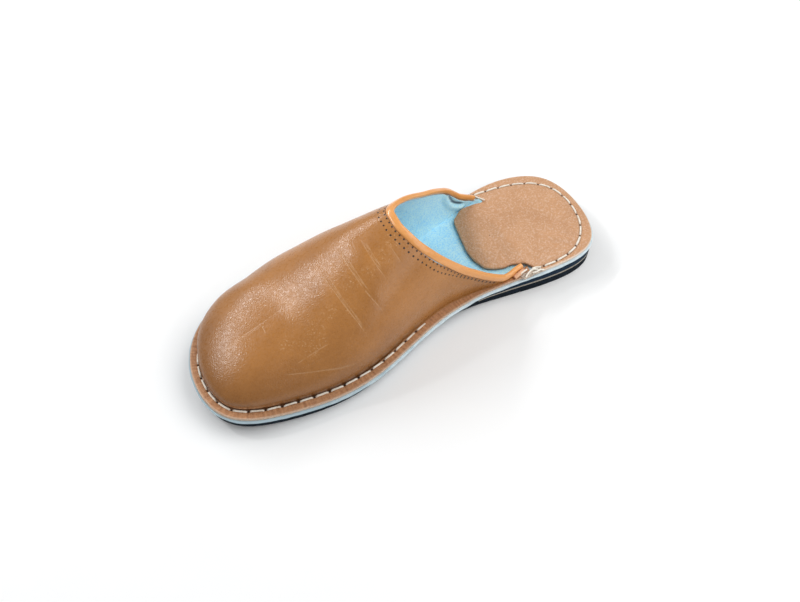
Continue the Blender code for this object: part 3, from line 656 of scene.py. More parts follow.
def raw_leather(name, light, dark):
    """Flesh side or cut edge of a hide: fibrous, no gloss."""
    made, tree, shader, place = new_material(name, 0.9)
    fibre = add(tree, "TexNoise", {"Vector": place, "Scale": 1 / (0.7 * MM), "Detail": 5.0, "Roughness": 0.8})
    share = add(tree, "MapRange", (fibre, 0.35, 0.65))
    colour = add(tree, "Mix", {0: share, 6: dark, 7: light}, data_type="RGBA")
    tree.links.new(colour.outputs[2], shader.inputs["Base Color"])
    bump = add(tree, "Bump", {"Strength": 0.8, "Distance": 0.3 * MM, "Height": fibre})
    tree.links.new(bump.outputs[0], shader.inputs["Normal"])
    return made


def blue_suede(name, colours, light, dark):
    """Split hide dyed light blue and buffed: short nap that catches the light in patches, dark flecks.
    The nap is drawn about twice as coarse as it is, to show at this distance."""
    made, tree, shader, place = new_material(name, 0.95)
    nap = add(tree, "TexNoise", {"Vector": place, "Scale": 1 / (1.0 * MM), "Detail": 4.0, "Roughness": 0.8})
    patch = add(tree, "TexNoise", {"Vector": place, "Scale": 1 / (9.0 * MM), "Detail": 4.0, "Roughness": 0.6})
    share = add(tree, "Math", (nap, 0.85), operation="MULTIPLY")
    share = add(tree, "Math", (patch, 0.15, share), operation="MULTIPLY_ADD")
    share = add(tree, "MapRange", (share, 0.42, 0.58))
    colour = add(tree, "Mix", {0: share, 6: dark, 7: light}, data_type="RGBA")
    fleck = add(tree, "TexNoise", {"Vector": place, "Scale": 1 / (1.0 * MM), "Detail": 3.0, "Roughness": 0.85})
    fleck = add(tree, "MapRange", (fleck, 0.63, 0.72, 0.0, 0.50))
    # dark flecks of the suede, then painted shade in the lining's fold
    for dark_share in (fleck, add(tree, "Attribute", attribute_name="fold")):
        colour = add(tree, "Mix", {0: dark_share, 6: colour, 7: colours.suede_fleck_and_fold_shade}, data_type="RGBA")
    tree.links.new(colour.outputs[2], shader.inputs["Base Color"])
    height = add(tree, "Math", (patch, 0.6, nap), operation="MULTIPLY_ADD")
    bump = add(tree, "Bump", {"Strength": 0.6, "Distance": 0.3 * MM, "Height": height})
    tree.links.new(bump.outputs[0], shader.inputs["Normal"])
    shader.inputs["Sheen Weight"].default_value = 0.35
    shader.inputs["Sheen Roughness"].default_value = 0.5
    return made


def white_board(colours):
    """White foamed sheet, trimmed with a knife: matt, bluish white, faint drag lines, greyer in patches and towards
    the toe.
    """
    made, tree, shader, place = new_material("white_foam_sheet", 0.75)
    flat = add(tree, "Mapping", {"Vector": place, "Scale": (1.0, 1.0, 6.0)})
    drag = add(tree, "TexNoise", {"Vector": flat, "Scale": 1 / (2.0 * MM), "Detail": 4.0, "Roughness": 0.7})
    greying = add(tree, "TexNoise", {"Vector": place, "Scale": 1 / (7.0 * MM), "Detail": 5.0, "Roughness": 0.7})
    greying = add(tree, "MapRange", (greying, 0.48, 0.75, 0.0, 0.6))
    # greyer towards the toe
    toeward = add(tree, "SeparateXYZ", (place,))
    toeward = add(tree, "MapRange", (toeward, -0.02, 0.09, 0.0, 0.75))
    greying = add(tree, "Math", (greying, toeward), operation="ADD")
    share = add(tree, "Math", (drag, 0.5, greying), operation="MULTIPLY_ADD")
    colour = add(tree, "Mix", {0: share, 6: colours.board, 7: colours.board_grey}, data_type="RGBA")
    tree.links.new(colour.outputs[2], shader.inputs["Base Color"])
    bump = add(tree, "Bump", {"Strength": 0.5, "Distance": 0.2 * MM, "Height": drag})
    tree.links.new(bump.outputs[0], shader.inputs["Normal"])
    return made


def black_rubber(name, light, dark):
    """Expanded rubber sheet, cut and buffed: slate black, matt, fine cells, pale dust in patches."""
    made, tree, shader, place = new_material(name, 0.85)
    cells = add(tree, "TexVoronoi", {"Vector": place, "Scale": 1 / (0.8 * MM)})
    dust = add(tree, "TexNoise", {"Vector": place, "Scale": 1 / (3.5 * MM), "Detail": 6.0, "Roughness": 0.75})
    share = add(tree, "MapRange", (dust, 0.45, 0.75))
    colour = add(tree, "Mix", {0: share, 6: dark, 7: light}, data_type="RGBA")
    tree.links.new(colour.outputs[2], shader.inputs["Base Color"])
    shader.inputs["Specular IOR Level"].default_value = 0.15
    height = add(tree, "Math", (dust, cells), operation="ADD")
    bump = add(tree, "Bump", {"Strength": 0.5, "Distance": 0.3 * MM, "Height": height})
    tree.links.new(bump.outputs[0], shader.inputs["Normal"])
    return made


def waxed_thread(name, colours):
    """Waxed linen thread, three strands twisted: off-white, low sheen, soiled in patches."""
    made, tree, shader, place = new_material(name, 0.55)
    run, turn = (add(tree, "Attribute", attribute_name=name) for name in ("thread_run", "thread_turn"))
    # a strand comes round every 1.1 mm
    twist = add(tree, "Math", (run, 1 / 1.1, turn), operation="MULTIPLY_ADD")
    twist = add(tree, "Math", (twist, 0.5), operation="PINGPONG")
    greying = add(tree, "TexNoise", {"Vector": place, "Scale": 1 / (4.0 * MM), "Detail": 4.0, "Roughness": 0.7})
    share = add(tree, "MapRange", (greying, 0.45, 0.7, 0.0, 0.7))
    colour = add(tree, "Mix", {0: share, 6: colours.thread, 7: colours.thread_soiled}, data_type="RGBA")
    tree.links.new(colour.outputs[2], shader.inputs["Base Color"])
    bump = add(tree, "Bump", {"Strength": 0.6, "Distance": 0.2 * MM, "Height": twist})
    tree.links.new(bump.outputs[0], shader.inputs["Normal"])
    return made


def floor_paper(colours):
    """Background paper: matt, almost white, with a trace of pulp."""
    made, tree, shader, place = new_material("background_paper", 0.9)
    pulp = add(tree, "TexNoise", {"Vector": place, "Scale": 1 / (60 * MM), "Detail": 4.0})
    colour = add(tree, "Mix", {0: pulp, 6: colours.paper_dark, 7: colours.paper_light}, data_type="RGBA")
    tree.links.new(colour.outputs[2], shader.inputs["Base Color"])
    shader.inputs["Specular IOR Level"].default_value = 0.1
    return made


def piece(name, points, faces, marks=()):
    """New mesh object from points and faces, with one number per point for each mark."""
    mesh = bpy.data.meshes.new(name)
    mesh.from_pydata(np.asarray(points, float).tolist(), [], faces)
    made = bpy.data.objects.new(name, mesh)
    bpy.context.scene.collection.objects.link(made)
    for key, values in dict(marks).items():
        mark(made, key, values)
    return made


def mark(made, name, values):
    """Give every point a number that the materials can read."""
    layer = made.data.attributes.new(name, "FLOAT", "POINT")
    layer.data.foreach_set("value", np.asarray(values, np.float32))


def choose(made):
    """Make one piece the only selected and active one."""
    for other in bpy.context.selected_objects:
        other.select_set(False)
    made.select_set(True)
    bpy.context.view_layer.objects.active = made


def tidy_mesh(made):
    """Weld doubles and turn every face outwards."""
    work = bmesh.new()
    work.from_mesh(made.data)
    bmesh.ops.remove_doubles(work, verts=work.verts, dist=0.000004)
    loose = [vert for vert in work.verts if not vert.link_faces]
    bmesh.ops.delete(work, geom=loose, context="VERTS")
    bmesh.ops.recalc_face_normals(work, faces=work.faces)
    work.to_mesh(made.data)
    work.free()


def read(rows, name):
    """One vector of every row of mesh data."""
    flat = np.empty(len(rows) * 3, np.float32)
    rows.foreach_get(name, flat)
    return flat.reshape(-1, 3).astype(float)


def places_of(made):
    return read(made.data.vertices, "co")


def normals_of(made):
    return read(made.data.vertex_normals, "vector")


def face_up(made):
    """Turn an open sheet over if its highest point looks down."""
    if normals_of(made)[places_of(made)[:, 2].argmax()][2] < 0:
        made.data.flip_normals()


def put_places(made, places):
    made.data.vertices.foreach_set("co", np.asarray(places, np.float32).ravel())
    made.data.update()


def soft_noise(places, size, seed):
    """Smooth noise of about -1 to 1 at each place, with swells of a size in metres."""
    shift = Vector((seed * 3.7, seed * 1.3, seed * 2.1))
    return np.array([noise.noise(Vector(place) / size + shift) for place in places])


def thicken(made, thickness, material=0):
    """Give an open sheet its thickness inwards. The inside takes the material that many slots on."""
    wall = made.modifiers.new("wall", "SOLIDIFY")
    wall.thickness = thickness
    wall.offset = -1
    wall.material_offset = material
    wall.material_offset_rim = material
    choose(made)
    bpy.ops.object.modifier_apply(modifier=wall.name)


def dress(made, nodes, slot, *materials):
    """Hang a finished piece on the body and give it its materials."""
    for finish in materials:
        made.data.materials.append(finish)
    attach(made, "root")
    if nodes:
        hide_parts(*nodes)
    choose(made)
    bpy.ops.object.shade_smooth_by_angle(angle=math.radians(42))
    made.select_set(False)


def ring_faces(rows, total, capped=False):
    """Faces of a skin of closed rings, with its ends closed if capped."""
    faces = []
    for i in range(rows - 1):
        for k in range(total):
            n = (k + 1) % total
            faces.append((i * total + k, i * total + n, (i + 1) * total + n, (i + 1) * total + k))
    if capped:
        faces.append(tuple(reversed(range(total))))
        faces.append(tuple((rows - 1) * total + k for k in range(total)))
    return faces


def tube(line, radius, sides, flat=1.0):
    """Points, faces and marks of a round thread along a line, closed at both ends."""
    line = np.asarray(line, float)
    run = run_of(line)
    heading = np.gradient(line, axis=0)
    heading /= np.linalg.norm(heading, axis=1)[:, None]
    up = np.array((0.0, 0.0, 1.0))
    points, runs, turns = [], [], []
    for i, (centre, ahead) in enumerate(zip(line, heading)):
        across = np.cross(ahead, up)
        if np.linalg.norm(across) < 0.05:
            across = np.array((ahead[1], -ahead[0], 0.0)) + np.array((0.0, 0.001, 0.0))
        across /= np.linalg.norm(across)
        over = np.cross(across, ahead)
        end = 0.55 if i in (0, len(line) - 1) else 1.0
        for k in range(sides):
            angle = 2 * math.pi * k / sides
            points.append(centre + radius * end * (across * math.cos(angle) + over * math.sin(angle) * flat))
            runs.append(run[i] / MM)
            turns.append(k / sides)
    return points, ring_faces(len(line), sides, True), runs, turns


def join_tubes(name, tubes):
    """One mesh of many threads."""
    points, faces, runs, turns = [], [], [], []
    for part_points, part_faces, part_runs, part_turns in tubes:
        first = len(points)
        points += [list(point) for point in part_points]
        faces += [tuple(first + k for k in face) for face in part_faces]
        runs += part_runs
        turns += part_turns
    made = piece(name, points, faces, {"thread_run": runs, "thread_turn": turns})
    tidy_mesh(made)
    return made


def paired_loop(last, loop, stations):
    """A loop read at stations that its two sides share, heel medial to toe, then back lateral."""
    medial, lateral = last.sides(loop, stations)
    ahead = np.column_stack((stations, medial))
    back = np.column_stack((stations, lateral))[::-1]
    return np.vstack((ahead, back[1:-1]))


def whole_stations(loop, count):
    """Stations over the whole of a loop, closer together at its ends."""
    turn = np.linspace(0.0, math.pi, count + 1)
    start = loop[:, 0].min()
    return start + (loop[:, 0].max() - start) * (1 - np.cos(turn)) / 2


def layer(last, name, loop, stations, foot, top, rim, wobble):
    """Sole layer with rounded rims: rings run from the middle of the underside round the edge to the top."""
    plan = paired_loop(last, loop, stations)
    run = np.roll(plan, -1, axis=0) - np.roll(plan, 1, axis=0)
    run /= np.linalg.norm(run, axis=1)[:, None]
    inward = np.column_stack((run[:, 1], -run[:, 0]))
    uneven = wobble * soft_noise(np.column_stack((plan, np.zeros(len(plan)))), 0.006, 1.0)
    plan = plan + inward * uneven[:, None]
    low = stations[0] + (stations[-1] - stations[0]) * 0.16
    high = stations[-1] - (stations[-1] - stations[0]) * 0.16
    axis_x = np.clip(plan[:, 0], low, high)
    medial, lateral = last.sides(loop, axis_x)
    axis = np.column_stack((axis_x, (medial + lateral) / 2))
    rings = []
    for height, sign in ((top, -1), (foot, 1)):
        half = []
        for angle in np.linspace(0.0, math.pi / 2, 4):
            spot = plan + inward * rim * (1 - math.cos(angle))
            half.append(np.column_stack((spot, height(plan[:, 0]) + sign * rim * (1 - math.sin(angle)))))
        for share in (0.12, 0.33, 0.66, 1.0):
            spot = plan + (axis - plan) * share
            half.append(np.column_stack((spot, height(spot[:, 0]))))
        rings = half[::-1] + rings if sign > 0 else half
    return ring_piece(name, rings)


def ring_piece(name, rings, capped=False):
    """Piece skinned over closed rings of points."""
    made = piece(name, np.vstack(rings), ring_faces(len(rings), len(rings[0]), capped))
    tidy_mesh(made)
    return made


def vamp_skin(last):
    """Open outer face of the vamp as spokes of points, wall first and then the turned-out flange."""
    turns = np.linspace(0.0, 1.0, VAMP_TURNS + 1)
    shares = np.linspace(1.0, 0.0, SIDE_STATIONS + 1)[:, None]
    medial = POLE_ALONG + (table(COLLAR, "along", turns) - POLE_ALONG) * shares
    lateral = POLE_ALONG + (table(COLLAR, "along", -turns) - POLE_ALONG) * shares[::-1]
    return np.concatenate((last.face(medial, turns), last.toe_face(turns), last.face(lateral, -turns)))


def skin_faces(spokes, rows, first=0):
    """Faces of an open sheet of points, row by row."""
    faces = []
    for i in range(spokes - 1):
        for j in range(rows - 1):
            a = first + i * rows + j
            faces.append((a, a + rows, a + rows + 1, a + 1))
    return faces


def flange_rows(last, feet):
    """Rows of the flange, from the fold at the wall out to its cut edge."""
    nearest = np.linalg.norm(last.flange[None] - feet[:, None, :2], axis=2).argmin(axis=1)
    edge = last.flange[nearest]
    rows = []
    for share in (0.0, 0.08, 0.16, 0.25, 0.36, 0.48, 0.60, 0.72, 0.84, 0.94, 1.0):
        plan = feet[:, :2] + (edge - feet[:, :2]) * share
        rows.append(np.column_stack((plan, last.flange_top(plan[:, 0]))))
    return np.stack(rows, axis=1)


def creasing(places, level):
    """How far the vamp is raised or pressed in at each place, and the marks of its creases."""
    high = smooth(0.0, 0.006, level)
    push = (0.00012 * soft_noise(places, 0.034, 2.0) + 0.00006 * soft_noise(places, 0.011, 5.0)) * high
    crease = np.full(len(places), 20.0)
    pale = np.zeros(len(places))
    for fold in CREASES:
        line = rounded_line(np.array(fold.points) * MM, 40)
        gap, run, side = near_line(places[:, :2], line)
        reach = run / run_of(line)[-1]
        fade = smooth(0.0, 0.16, reach) * (1 - smooth(0.84, 1.0, reach))
        push -= fold.depth * MM * np.exp(-(gap / MM / fold.width) ** 2) * smooth(0.004, 0.01, level) * fade
        closer = gap / MM < np.abs(crease)
        crease = np.where(closer, gap / MM * side, crease)
        pale = np.where(closer, fold.pale * fade, pale)
    push += rolls_at(places, ROLLS) * smooth(0.003, 0.012, level)
    return push, crease, pale


def rolls_at(places, rolls):
    """Height of soft rolls and hollows at each place."""
    height = np.zeros(len(places))
    for roll in rolls:
        angle = math.radians(roll.heading)
        rel = places[:, :2] / MM - (roll.x, roll.y)
        ahead = (rel[:, 0] * math.cos(angle) + rel[:, 1] * math.sin(angle)) / roll.length
        across = (rel[:, 1] * math.cos(angle) - rel[:, 0] * math.sin(angle)) / roll.width
        height += roll.height * MM * np.exp(-ahead ** 2 - across ** 2)
    return height


def stitch_beat(run, pitch):
    """Distance along a seam to its nearest awl hole."""
    return np.abs((run / pitch + 0.5) % 1.0 - 0.5) * pitch


def make_vamp(last, colours):
    """Vamp with its turned-out flange: creased, pulled down along the stitches, given its wall."""
    skin = vamp_skin(last)
    spokes = len(skin)
    flange = flange_rows(last, skin[:, -1])
    for _ in range(2):
        near = np.concatenate((skin[:, -3:], flange[:, 1:4]), axis=1)
        near[:, 1:-1] = (near[:, :-2] + 2 * near[:, 1:-1] + near[:, 2:]) / 4
        skin[:, -3:] = near[:, :3]
        flange[:, 1:4] = near[:, 3:]
    whole = np.concatenate((skin, flange[:, 1:]), axis=1)
    rows = whole.shape[1]
    points = whole.reshape(-1, 3)
    faces = skin_faces(spokes, rows)
    for side, start, stop, spoke in ((0, COLLAR[-1].along, FLANGE_ENDS[0], 0),
                                     (1, COLLAR[0].along, FLANGE_ENDS[1], spokes - 1)):
        steps = max(int((start - stop) / 0.002), 2)
        x = last.x_of(np.linspace(start, stop, steps))
        feet = np.column_stack((x, last.sides(last.feather, x)[side], last.flange_top(x)))
        tail = flange_rows(last, feet)
        tail[0, 1:] = whole[spoke, -(tail.shape[1] - 1):]
        first = len(points)
        points = np.vstack((points, tail.reshape(-1, 3)))
        strip = skin_faces(steps, tail.shape[1], first)
        faces += strip if side else [tuple(reversed(face)) for face in strip]
    made = piece("vamp", points, faces)
    tidy_mesh(made)
    face_up(made)
    places = places_of(made)
    normals = normals_of(made)
    level = places[:, 2] - last.flange_top(places[:, 0])
    low = 1 - smooth(0.002, 0.006, level)
    seam = last.seam_line()
    away, awl_run, side = near_line(places[:, :2], seam)
    spread = np.hypot(away, np.maximum(level, 0.0)) / MM
    sewn = (places[:, 0] > last.x_of(0.50)) | (places[:, 1] < 0)
    out = near_line(places[:, :2], np.vstack((last.feather, last.feather[:1])))[0]
    on_flange = smooth(0.0002, 0.0010, out) * ~within(places[:, :2], last.feather) * low
    push, crease, pale = creasing(places, level)
    groove = np.exp(-(away / 0.0010) ** 2) * low * sewn
    push -= groove * (0.00022 + 0.00030 * np.exp(-(stitch_beat(awl_run, last.sizes.stitch_pitch) / 0.0010) ** 2))
    push += on_flange * (0.00012 * soft_noise(places, 0.0035, 8.0) + 0.0001 * soft_noise(places, 0.009, 3.0))
    put_places(made, places + normals * push[:, None])
    collar = last.collar_line(700)
    gap, run, _ = near_line(places, collar)
    run = (run - run_of(collar)[-1] / 2) / MM
    row_two = 4.3 - 2.9 * smooth(46.0, 76.0, -run)
    rub = np.zeros(len(places))
    for spot in RUBS:
        reach = np.hypot(places[:, 0] / MM - spot.x, places[:, 1] / MM - spot.y) / spot.radius
        rub = np.maximum(rub, 1 - smooth(0.3, 1.0, reach))
    on_wall = level > 0.002
    for name, values in (
            ("needle_run", run), ("needle_one", np.where(on_wall, gap / MM - 0.70, 20.0)),
            ("needle_two", np.where(on_wall, gap / MM - row_two, 20.0)),
            ("crease", crease), ("crease_pale", pale), ("rub", rub), ("flange", on_flange),
            # painted shade: darker near the foot of the wall and towards the toe
            ("painted_foot_shade", (0.52 * (1 - smooth(0.0, 0.034, level)) + 0.55 * (1 - smooth(-0.001, 0.008, level)))
             * (0.35 + 0.65 * smooth(-0.02, 0.05, places[:, 0]))),
            ("rim", 0.4 * (1 - smooth(0.0002, 0.0007, near_line(places[:, :2], last.flange)[0]))),
            ("awl_run", awl_run / MM), ("awl_in", np.where((low > 0) & sewn, spread * side, 20.0))):
        mark(made, name, values)
    made.data.materials.append(vamp_leather(colours))
    made.data.materials.append(raw_leather("raw_vamp_flesh_side", colours.raw_light, colours.raw_dark))
    thicken(made, last.sizes.wall, 1)
    dress(made, ["upper"], "tan_leather")


def make_lining(last, colours):
    """Suede lining glued inside the vamp, with a pucker near the lateral end of the collar, painted dark in its fold
    as shade.
    """
    skin = vamp_skin(last)
    low = skin[:, -1:] - (0.0, 0.0, last.sizes.wall - last.sizes.insole_thick + 0.0003)
    skin = np.concatenate((skin, low), axis=1)
    spokes, rows = skin.shape[:2]
    made = piece("lining", skin.reshape(-1, 3), skin_faces(spokes, rows))
    tidy_mesh(made)
    face_up(made)
    places = places_of(made)
    normals = normals_of(made)
    level = places[:, 2] - last.flange_top(places[:, 0])
    push = creasing(places, level)[0]
    inner = places + normals * (push - last.sizes.wall - 0.00008)[:, None]
    pucker = rounded_line(np.array(LINING_FOLD) * MM, 40)
    gap, _, _ = near_line(inner, pucker)
    fold = np.exp(-(gap / 0.0012) ** 4)
    swell = 0.0016 * np.exp(-((gap - 0.0034) / 0.0020) ** 2) - 0.0002 * fold
    swell = np.maximum(swell + 0.00012 * soft_noise(places, 0.007, 4.0), 0.0)
    put_places(made, inner - normals * swell[:, None])
    # painted shade along the pucker's fold
    mark(made, "fold", fold)
    thicken(made, last.sizes.lining_thick)
    dress(made, [], "blue_suede",
          blue_suede("buffed_blue_suede_lining", colours, colours.lining_light, colours.lining_dark))


def make_insole(last, colours):
    """Suede sock on the forefoot, slightly wavy, with a strip that runs back beside the pad's tongue."""
    end = last.x_of(INSOLE_END)
    turn = np.linspace(0.0, math.pi / 2, 120)
    stop = last.insole[:, 0].max()
    stations = np.concatenate((np.linspace(-0.0845, end - 0.0001, 16), end + (stop - end) * np.sin(turn)))
    medial, lateral = last.sides(last.insole, stations)
    wider = 0.0009 * (1 - smooth(0.45, 0.5, last.along_of(stations)))
    medial = np.where(stations < end, -0.0275, medial + wider)
    lateral = lateral - wider
    shares = np.linspace(0.0, 1.0, 50)
    y = lateral[:, None] + (medial - lateral)[:, None] * shares
    x = np.repeat(stations[:, None], len(shares), axis=1)
    points = np.stack((x, y, last.insole_top(x)), axis=2).reshape(-1, 3)
    edge = np.tile(smooth(0.0, 0.1, np.minimum(shares, 1 - shares)), len(stations))
    points[:, 2] += 0.00016 * soft_noise(points, 0.012, 6.0) * edge - 0.0001
    made = piece("insole_sock", points, skin_faces(len(stations), len(shares)), {"fold": np.zeros(len(points))})
    tidy_mesh(made)
    face_up(made)
    thicken(made, last.sizes.insole_thick - 0.0002)
    dress(made, ["insole"], "blue_suede",
          blue_suede("buffed_blue_suede_sock", colours, colours.suede_light, colours.suede_dark))


def make_binding(last, colours):
    """Rolled band over the collar's edge, a rounded section carried along it."""
    sizes = last.sizes
    line = [(along, 1.0) for along in np.linspace(BINDING_END, COLLAR[-1].along, 24)[:-1]]
    line += [(float(table(COLLAR, "along", turn)), turn) for turn in np.linspace(1.0, -1.0, 300)]
    along = np.array([row[0] for row in line])
    turn = np.array([row[1] for row in line])
    spine = last.face(along, turn)
    normals = last.outward(along, turn)
    run = run_of(spine)
    places = np.linspace(0.0, run[-1], BINDING_STEPS + 1)
    spine = np.column_stack([np.interp(places, run, spine[:, k]) for k in range(3)])
    normals = np.column_stack([np.interp(places, run, normals[:, k]) for k in range(3)])
    for _ in range(14):
        normals[1:-1] = (normals[:-2] + 2 * normals[1:-1] + normals[2:]) / 4
        spine[1:-1] = (spine[:-2] + 2 * spine[1:-1] + spine[2:]) / 4
    normals /= np.linalg.norm(normals, axis=1)[:, None]
    heading = np.gradient(spine, axis=0)
    heading /= np.linalg.norm(heading, axis=1)[:, None]
    lifts = np.cross(heading, normals)
    lifts /= np.linalg.norm(lifts, axis=1)[:, None]
    if lifts[BINDING_STEPS // 2][0] > 0:
        lifts = -lifts
    reach = np.linspace(0.0, 1.0, BINDING_STEPS + 1)
    slim = 1 - 0.30 * smooth(0.62, 0.74, reach) - 0.25 * (1 - smooth(0.0, 0.05, reach))
    wide = (1 + 0.05 * soft_noise(spine, 0.014, 2.0)) * slim
    thick = (1 + 0.05 * soft_noise(spine, 0.010, 9.0)) * (1 - 0.12 * smooth(0.62, 0.74, reach))
    rings = []
    for k in range(BINDING_SIDES):
        angle = 2 * math.pi * (k + 0.5) / BINDING_SIDES
        up = math.copysign(abs(math.sin(angle)) ** BINDING_POWER, math.sin(angle)) * sizes.binding_width / 2
        out = math.copysign(abs(math.cos(angle)) ** BINDING_POWER, math.cos(angle)) * sizes.binding_thick / 2
        centre = spine + lifts * (0.0002 + sizes.binding_width / 2 * slim)[:, None] - normals * sizes.wall / 2
        rings.append(centre + lifts * (up * wide)[:, None] + normals * (out * thick)[:, None])
    made = ring_piece("binding", np.stack(rings, axis=1), True)
    dress(made, ["collar_binding"], "binding_leather", binding_leather(colours))


def make_pad(last, colours):
    """Heel cushion: leather over filling, flat at the flange, pulled down by the stitches, soft wrinkles."""
    sizes = last.sizes
    loop = last.pad_loop()
    run = run_of(np.vstack((loop, loop[:1])))
    knots = []
    for spoke in PAD_SPOKES:
        nearest = np.linalg.norm(loop - (spoke.x * MM, spoke.y * MM), axis=1).argmin()
        knots.append((run[nearest], spoke.axis * MM))
    knots.sort()
    axis_x = np.interp(run[:-1], [knot[0] for knot in knots], [knot[1] for knot in knots])
    medial, lateral = last.sides(last.flange, axis_x)
    axis = np.column_stack((axis_x, (medial + lateral) / 2))
    reach = np.linalg.norm(loop - axis, axis=1)
    rings = []
    for depth in (0.0, 0.3, 0.6, 1.0, 1.6, 2.3, 3.0, 3.6, 4.2, 4.8, 5.4, 6.0, 6.6, 7.4, 8.2, 9.2, 10.4,
                  11.8, 13.4, 15.4, 17.6):
        rings.append(loop + (axis - loop) * np.minimum(depth * MM / reach, 1.0)[:, None])
    deepest = rings[-1]
    rings += [deepest + (axis - deepest) * share for share in (0.2, 0.4, 0.6, 0.8, 1.0)]
    seam = last.heel_seam_line()
    tongue = rounded_line(np.array(TONGUE[1:-1]) * MM, 200)
    body = np.vstack((seam, tongue[::-1]))
    closed = np.vstack((body, body[:1]))
    tops = []
    bottoms = []
    for i, spot in enumerate(rings):
        inside = np.where(within(spot, body), near_line(spot, closed)[0], 0.0)
        swell = np.sin(np.clip(inside / sizes.pad_shoulder, 0.0, 1.0) * math.pi / 2)
        foot = last.pad_foot(spot)
        height = foot + sizes.pad_leather + sizes.pad_rise * swell - 0.0004 * max(1 - i / 2, 0.0) ** 2
        tops.append(np.column_stack((spot, height)))
        bottoms.append(np.column_stack((spot, foot + 0.00005)))
    made = ring_piece("heel_cushion", bottoms[::-1] + tops)
    places = places_of(made)
    normals = normals_of(made)
    away, awl_run, side = near_line(places[:, :2], seam)
    above = places[:, 2] - last.pad_foot(places)
    top = smooth(0.0008, 0.0016, above)
    groove = np.exp(-(away / 0.0011) ** 2) * top
    push = -groove * (0.0003 + 0.00035 * np.exp(-(stitch_beat(awl_run, sizes.stitch_pitch) / 0.0011) ** 2))
    inner = smooth(0.001, 0.007, near_line(places[:, :2], closed)[0]) * within(places[:, :2], body) * top
    push += inner * (0.00040 * soft_noise(places, 0.028, 1.0) + 0.00016 * soft_noise(places, 0.010, 7.0))
    push += rolls_at(places, WRINKLES) * inner
    put_places(made, places + normals * push[:, None])
    tongue_edge = smooth(-0.0845, -0.0835, places[:, 0]) * (np.abs(places[:, 1]) < 0.034)
    mark(made, "awl_run", awl_run / MM)
    mark(made, "awl_in", np.where(top > 0, away / MM * side, 20.0))
    rim = 1 - smooth(0.0002, 0.0007, near_line(places[:, :2], np.vstack((last.flange, last.flange[:1])))[0])
    mark(made, "rim", rim)
    # darker towards the foot of the tongue's edge
    mark(made, "dark_tongue_edge", (1 - smooth(0.0011, 0.0014, above)) * tongue_edge)
    dress(made, ["heel_pad"], "pad_leather", pad_leather(colours))


def stitches(line, level, sizes, chance, start=0.0, stop=1.0, sink_from=None):
    """Hand stitches along a plan line: each comes up from one hole and goes down the next. Behind
    sink_from they lie up to 0.4 mm lower."""
    run = run_of(line)
    tubes = []
    for k in range(int(run[-1] / sizes.stitch_pitch)):
        first = k * sizes.stitch_pitch + sizes.stitch_gap / 2
        last_place = (k + 1) * sizes.stitch_pitch - sizes.stitch_gap / 2
        if first < start or last_place > stop:
            continue
        places = np.linspace(first, last_place, 15)
        plan = np.column_stack([np.interp(places, run, line[:, axis]) for axis in (0, 1)])
        share = np.linspace(0.0, 1.0, 15)
        dive = 1 - smooth(0.0, 0.0014, np.minimum(share, 1 - share) * (last_place - first))
        plan[:, 1] += chance.uniform(-0.00022, 0.00022) * (share - 0.5) * 2
        z = level(plan) + sizes.thread * 0.36 - dive * sizes.thread * 1.4
        if sink_from is not None:
            z -= 0.0004 * (1 - smooth(sink_from, sink_from + 0.04, places))
        radius = sizes.thread / 2 * chance.uniform(0.92, 1.06)
        tubes.append(tube(np.column_stack((plan, z)), radius, 10, 0.85))
    return tubes


def make_flange_stitches(last, colours):
    """Stitches round the vamp, which sink out of sight behind the waist on the medial side."""
    line = last.seam_line()
    run = run_of(line)
    start = float(np.interp(last.x_of(0.50), line[:200, 0], run[:200]))

    def level(plan):
        return last.flange_top(plan[:, 0]) - 0.0002

    tubes = stitches(line, level, last.sizes, random.Random(SEED), start - 0.004, run[-1], start)
    made = join_tubes("flange_stitches", tubes)
    dress(made, [], "white_board", waxed_thread("waxed_flange_thread", colours))


def make_heel_stitches(last, colours):
    """Stitches round the heel pad."""
    def level(plan):
        return last.pad_foot(plan) + last.sizes.pad_leather - 0.00025

    tubes = stitches(last.heel_seam_line(), level, last.sizes, random.Random(SEED + 1))
    made = join_tubes("heel_stitches", tubes)
    dress(made, [], "white_board", waxed_thread("waxed_heel_thread", colours))


def make_sole(last, colours):
    """Outsole, leather layer, wedge and white midsole, each with a trimmed edge."""
    sizes = last.sizes
    heel_stop = last.x_of(WEDGE_END)
    outsole = layer(last, "rubber_outsole", last.outsole, whole_stations(last.outsole, SOLE_STATIONS),
                    last.ground, last.outsole_top, 0.0006, 0.00015)
    dress(outsole, ["outsole"], "black_rubber",
          black_rubber("cut_outsole_rubber", colours.outsole_dust, colours.outsole))
    start = last.wedge[:, 0].min()
    heel = start + (heel_stop - start) * (1 - np.cos(np.linspace(0.0, math.pi / 2, 90)))
    thin = layer(last, "leather_layer", last.wedge, heel, last.layer_foot, last.layer_top, 0.00012, 0.0001)
    dress(thin, ["heel_layer"], "layer_leather",
          raw_leather("split_heel_layer_leather", colours.layer_light, colours.layer_dark))
    wedge = layer(last, "rubber_wedge", last.wedge, heel, last.wedge_foot, last.wedge_top, 0.00025, 0.00012)
    dress(wedge, ["heel_wedge"], "wedge_rubber",
          black_rubber("buffed_wedge_rubber", colours.wedge_dust, colours.wedge))
    midsole = layer(last, "white_midsole", last.edge, whole_stations(last.edge, SOLE_STATIONS * 2),
                    last.midsole_foot, last.midsole_top, 0.00035, 0.0003)
    dress(midsole, ["midsole"], "white_board", white_board(colours))


